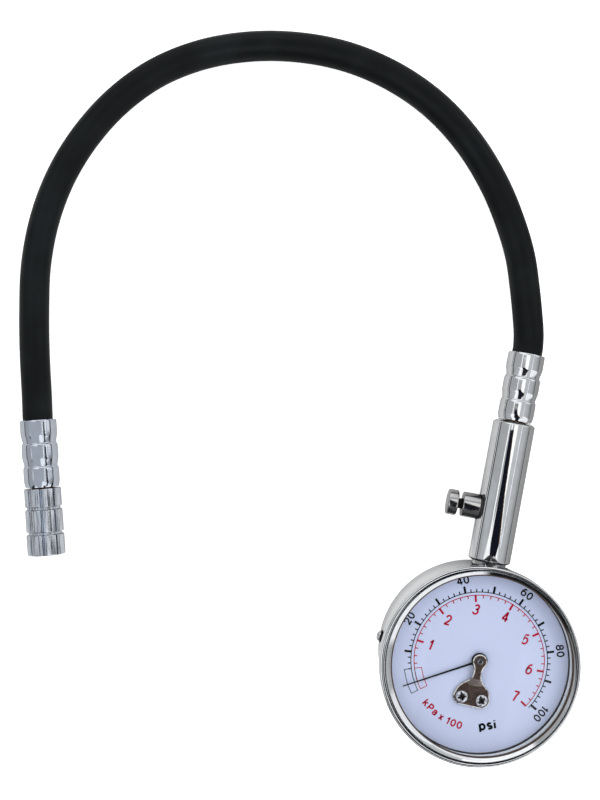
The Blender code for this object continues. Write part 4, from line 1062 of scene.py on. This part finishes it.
def glossy_card(name, corners, height, strength, colour):
    """A flat card that only mirrors see, through the lens too, dark or bright. Corners are in mm."""
    material = bpy.data.materials.new(name)
    material.use_nodes = True
    graph = Graph(material.node_tree)
    graph.tree.nodes.clear()
    glow = graph.node("ShaderNodeEmission")
    glow.inputs["Color"].default_value = (*colour, 1)
    glow.inputs["Strength"].default_value = strength
    clear = graph.node("ShaderNodeBsdfTransparent")
    kind = graph.node("ShaderNodeLightPath")
    hidden = graph.maths("GREATER_THAN", kind.outputs["Diffuse Depth"], 0.5)
    shader = graph.mix_shaders(hidden, glow.outputs["Emission"], clear.outputs["BSDF"])
    graph.link(shader, graph.node("ShaderNodeOutputMaterial").inputs["Surface"])
    card = stage_mesh(name, [(x * MM, y * MM) for x, y in corners], material, height)
    for ray in ("camera", "diffuse", "volume_scatter", "shadow"):
        setattr(card, f"visible_{ray}", False)


def grey(level):
    return level, level, level


def make_floor():
    """White paper for the camera. Mirrors see it grey instead, a painted reflection: darker to the right of
    the stem, with a painted lighter band close round the case, and near-black in a mirror seen in another
    mirror.
    """
    look = Look("floor_paper", grey(0.90), 0.8, 0.0, Specular_IOR_Level=0.1)
    paper = look.blend(look.noise(0.6, 3.0), grey(0.885), grey(0.91))
    kind = look.node("ShaderNodeLightPath").outputs
    sides = look.node("ShaderNodeSeparateXYZ")
    look.link(look.where, sides.inputs[0])
    x, y = sides.outputs["X"], sides.outputs["Y"]
    far = look.maths("SQRT", look.maths("ADD", look.maths("MULTIPLY", x, x), look.maths("MULTIPLY", y, y)))
    # A painted lighter band in the paper close round the case, which only mirrors see.
    begins, ends = look.span(far, 0.0270, 0.0282, 0.55, 1), look.span(far, 0.031, 0.036, 1, 0)
    close = look.maths("MULTIPLY", begins, ends)
    left = look.blend(close, grey(FLOOR_MIRRORED[0]), grey(FLOOR_BY_CASE))
    once = look.blend(look.span(x, -0.002, 0.004), left, grey(FLOOR_MIRRORED[1]))
    again = look.maths("GREATER_THAN", kind["Glossy Depth"], 1.5)
    look.colour(kind["Is Glossy Ray"], paper, look.blend(again, once, grey(FLOOR_TWICE)))
    look.set("Emission Color", (1, 1, 1, 1))
    glow = look.maths("MULTIPLY", kind["Is Camera Ray"], FLOOR_GLOW)
    look.link(glow, look.shader.inputs["Emission Strength"])
    floor = stage_mesh("floor", [(-3, -3), (3, -3), (3, 3), (-3, 3)], look.material)
    floor.location.z = -0.0001


def bands(graph, place):
    """The strips of the studio that run along the stem."""
    ramp = graph.node("ShaderNodeValToRGB")
    stops = ramp.color_ramp.elements
    while len(stops) > 1:
        stops.remove(stops[-1])
    for k, (angle, level) in enumerate(BANDS):
        stop = stops[0] if k == 0 else stops.new(angle / 180 + 0.5)
        stop.position = angle / 180 + 0.5
        stop.color = (*(level * part for part in BAND_TINT), 1)
    graph.link(place, ramp.inputs[0])
    return ramp.outputs[0]


def panel_mask(graph, x, y, up, azimuth, half, start, end):
    """1 inside a panel of the studio and 0 outside, with soft edges."""
    maths, span = graph.maths, graph.span
    east, north = cos(radians(azimuth)), sin(radians(azimuth))
    forth = maths("ADD", maths("MULTIPLY", x, east), maths("MULTIPLY", y, north))
    aside = maths("ABSOLUTE", maths("SUBTRACT", maths("MULTIPLY", y, east), maths("MULTIPLY", x, north)))
    down = maths("ARCTAN2", forth, up)
    turn = maths("ARCTAN2", aside, maths("MAXIMUM", forth, 0.0001))
    begun = span(down, radians(start - 2), radians(start + 2))
    ended = span(down, radians(end - 2), radians(end + 2), 1.0, 0.0)
    within = span(turn, radians(half - 3), radians(half + 3), 1.0, 0.0)
    return maths("MULTIPLY", maths("MULTIPLY", begun, ended), within)


def make_world():
    """Even light on all that is dull; mirrors see a studio of soft bands and panels."""
    world = bpy.data.worlds.new("studio")
    bpy.context.scene.world = world
    world.use_nodes = True
    graph = Graph(world.node_tree)
    graph.tree.nodes.clear()
    maths = graph.maths
    parts = graph.node("ShaderNodeSeparateXYZ")
    graph.link(graph.node("ShaderNodeTexCoord").outputs["Generated"], parts.inputs[0])
    x, y, z = parts.outputs
    up = maths("MAXIMUM", z, 0.0001)
    seen = bands(graph, maths("ADD", maths("MULTIPLY", maths("ARCTAN2", x, up), 1 / pi), 0.5))
    for *shape, colour in PANELS:
        seen = graph.blend(panel_mask(graph, x, y, up, *shape), seen, colour)
    kind = graph.node("ShaderNodeLightPath").outputs
    again = maths("GREATER_THAN", kind["Glossy Depth"], 1.5)
    mirror = graph.background(seen, maths("SUBTRACT", 1.0, maths("MULTIPLY", again, 1 - DIM_TWICE)))
    even = graph.background((1, 1, 1, 1), AMBIENT)
    mirrored = maths("MULTIPLY", maths("GREATER_THAN", kind["Glossy Depth"], 0.5),
                     maths("LESS_THAN", kind["Diffuse Depth"], 0.5))
    out = graph.node("ShaderNodeOutputWorld")
    graph.link(graph.mix_shaders(mirrored, even, mirror), out.inputs["Surface"])


def make_light():
    """A wide soft light from the upper right of the view, which shades and shadows a little."""
    data = bpy.data.lights.new("softbox", "AREA")
    data.shape = "DISK"
    data.size = 0.5
    data.energy = 1.35
    light = bpy.data.objects.new("softbox", data)
    light.location = (0.45, 0.45, 0.75)
    light.rotation_mode = "QUATERNION"
    light.rotation_quaternion = (Vector(light.location) - Vector((-0.03, 0.04, 0))).to_track_quat("Z", "Y")
    light.visible_glossy = False
    bpy.context.collection.objects.link(light)


CARDS = {  # strength, colour and outline
    "dark": (0.012, (0.6, 0.7, 1.3), [(-46, 75), (-6, 75), (20, 43), (63, 17), (36, 8), (34, -62), (-14, -62),
                                      (-14, 8), (-34, 17), (-34, 43)]),
    "brown": (1.0, (0.075, 0.045, 0.035), [(-74, -40), (-58, -84), (-20, -88), (-24, -40)]),
    "left": (1.3, (1, 1, 1), [(-67, 112), (-67, 12), (-56, 12), (-56, 112)]),
    "right": (1.3, (1, 1, 1), [(-20, 112), (-6, 75), (20, 43), (30, 37), (30, 112)]),
    "low": (1.2, (1, 1, 1), [(20, 43), (63, 17), (71, 17), (34, 39), (30, 43)]),
    "grey": (0.60, (0.97, 0.99, 1.02), [(30, 112), (30, 43), (34, 39), (71, 17), (88, 12), (88, 112)]),
    "far": (0.50, (0.96, 1.0, 1.06), [(-420, 46), (-420, 6), (-230, 6), (-230, -80), (-98, -80), (-98, 46)]),
    "line": (1.3, (0.95, 1.0, 1.1), [(88, 112), (88, 12), (95, 12), (95, 112)]),
}
EDGE_CARD = (1.0, (0.06, 0.032, 0.022), [(-6, 75), (20, 43), (63, 17), (47, 17), (10, 43), (-14, 75)])


def make_studio():
    """Cards close over the stem: dark where the camera and the hands are, bright strips beside them."""
    make_floor()
    make_world()
    make_light()
    for name, (strength, colour, outline) in CARDS.items():
        glossy_card(f"card_{name}", outline, CARD_Z, strength, colour)
    strength, colour, outline = EDGE_CARD
    glossy_card("card_edge", outline, CARD_Z - 0.0005, strength, colour)


# ---------------------------------------------------------------- CAD nodes that stay

STAYING = {
    "brass": "movement_base pillar_left pillar_right hairspring_collet hairspring_stud sector_gear "
             "tube_tip_plug check_valve_seat check_valve_poppet valve_depressor",
    # The hose nipples take the near-black brass: painted shade in the gaps at the ferrules.
    "gap_shaded_brass": "hose_nipple_stem hose_nipple_chuck",
    "steel": "sector_pin sector_post sector_clip tip_pin connecting_link base_screw_left base_screw_right "
             "chuck_thrust_washer",
    "nickel": "socket_block",
    "bronze": "hairspring",
    "chrome_screw": "pointer_arbor",
    "seal": "bleed_boss_washer bleed_seal check_valve_seal hose_end_stem hose_end_chuck chuck_seal",
}


def dress_nodes(looks):
    for look, names in STAYING.items():
        for name in names.split():
            mesh = NODES[name].data
            mesh.materials.clear()
            mesh.materials.append(looks[look])


make_camera()
bpy.context.scene.view_settings.view_transform = "Standard"
bpy.context.scene.view_settings.look = "None"
looks = make_looks()
hose = make_hose(looks)
make_case(looks)
make_front(looks)
make_dial(looks)
make_side_screws(looks)
make_bridge(looks)
make_pointer(looks)
make_stem(looks)
make_bleed(looks)
make_springs(looks)
make_pressure_tube(looks)
ferrule("ferrule_near", looks["chrome_near"], "hose_ferrule_stem", STEM_FERRULE)
make_chuck(looks)
dress_nodes(looks)
make_studio()
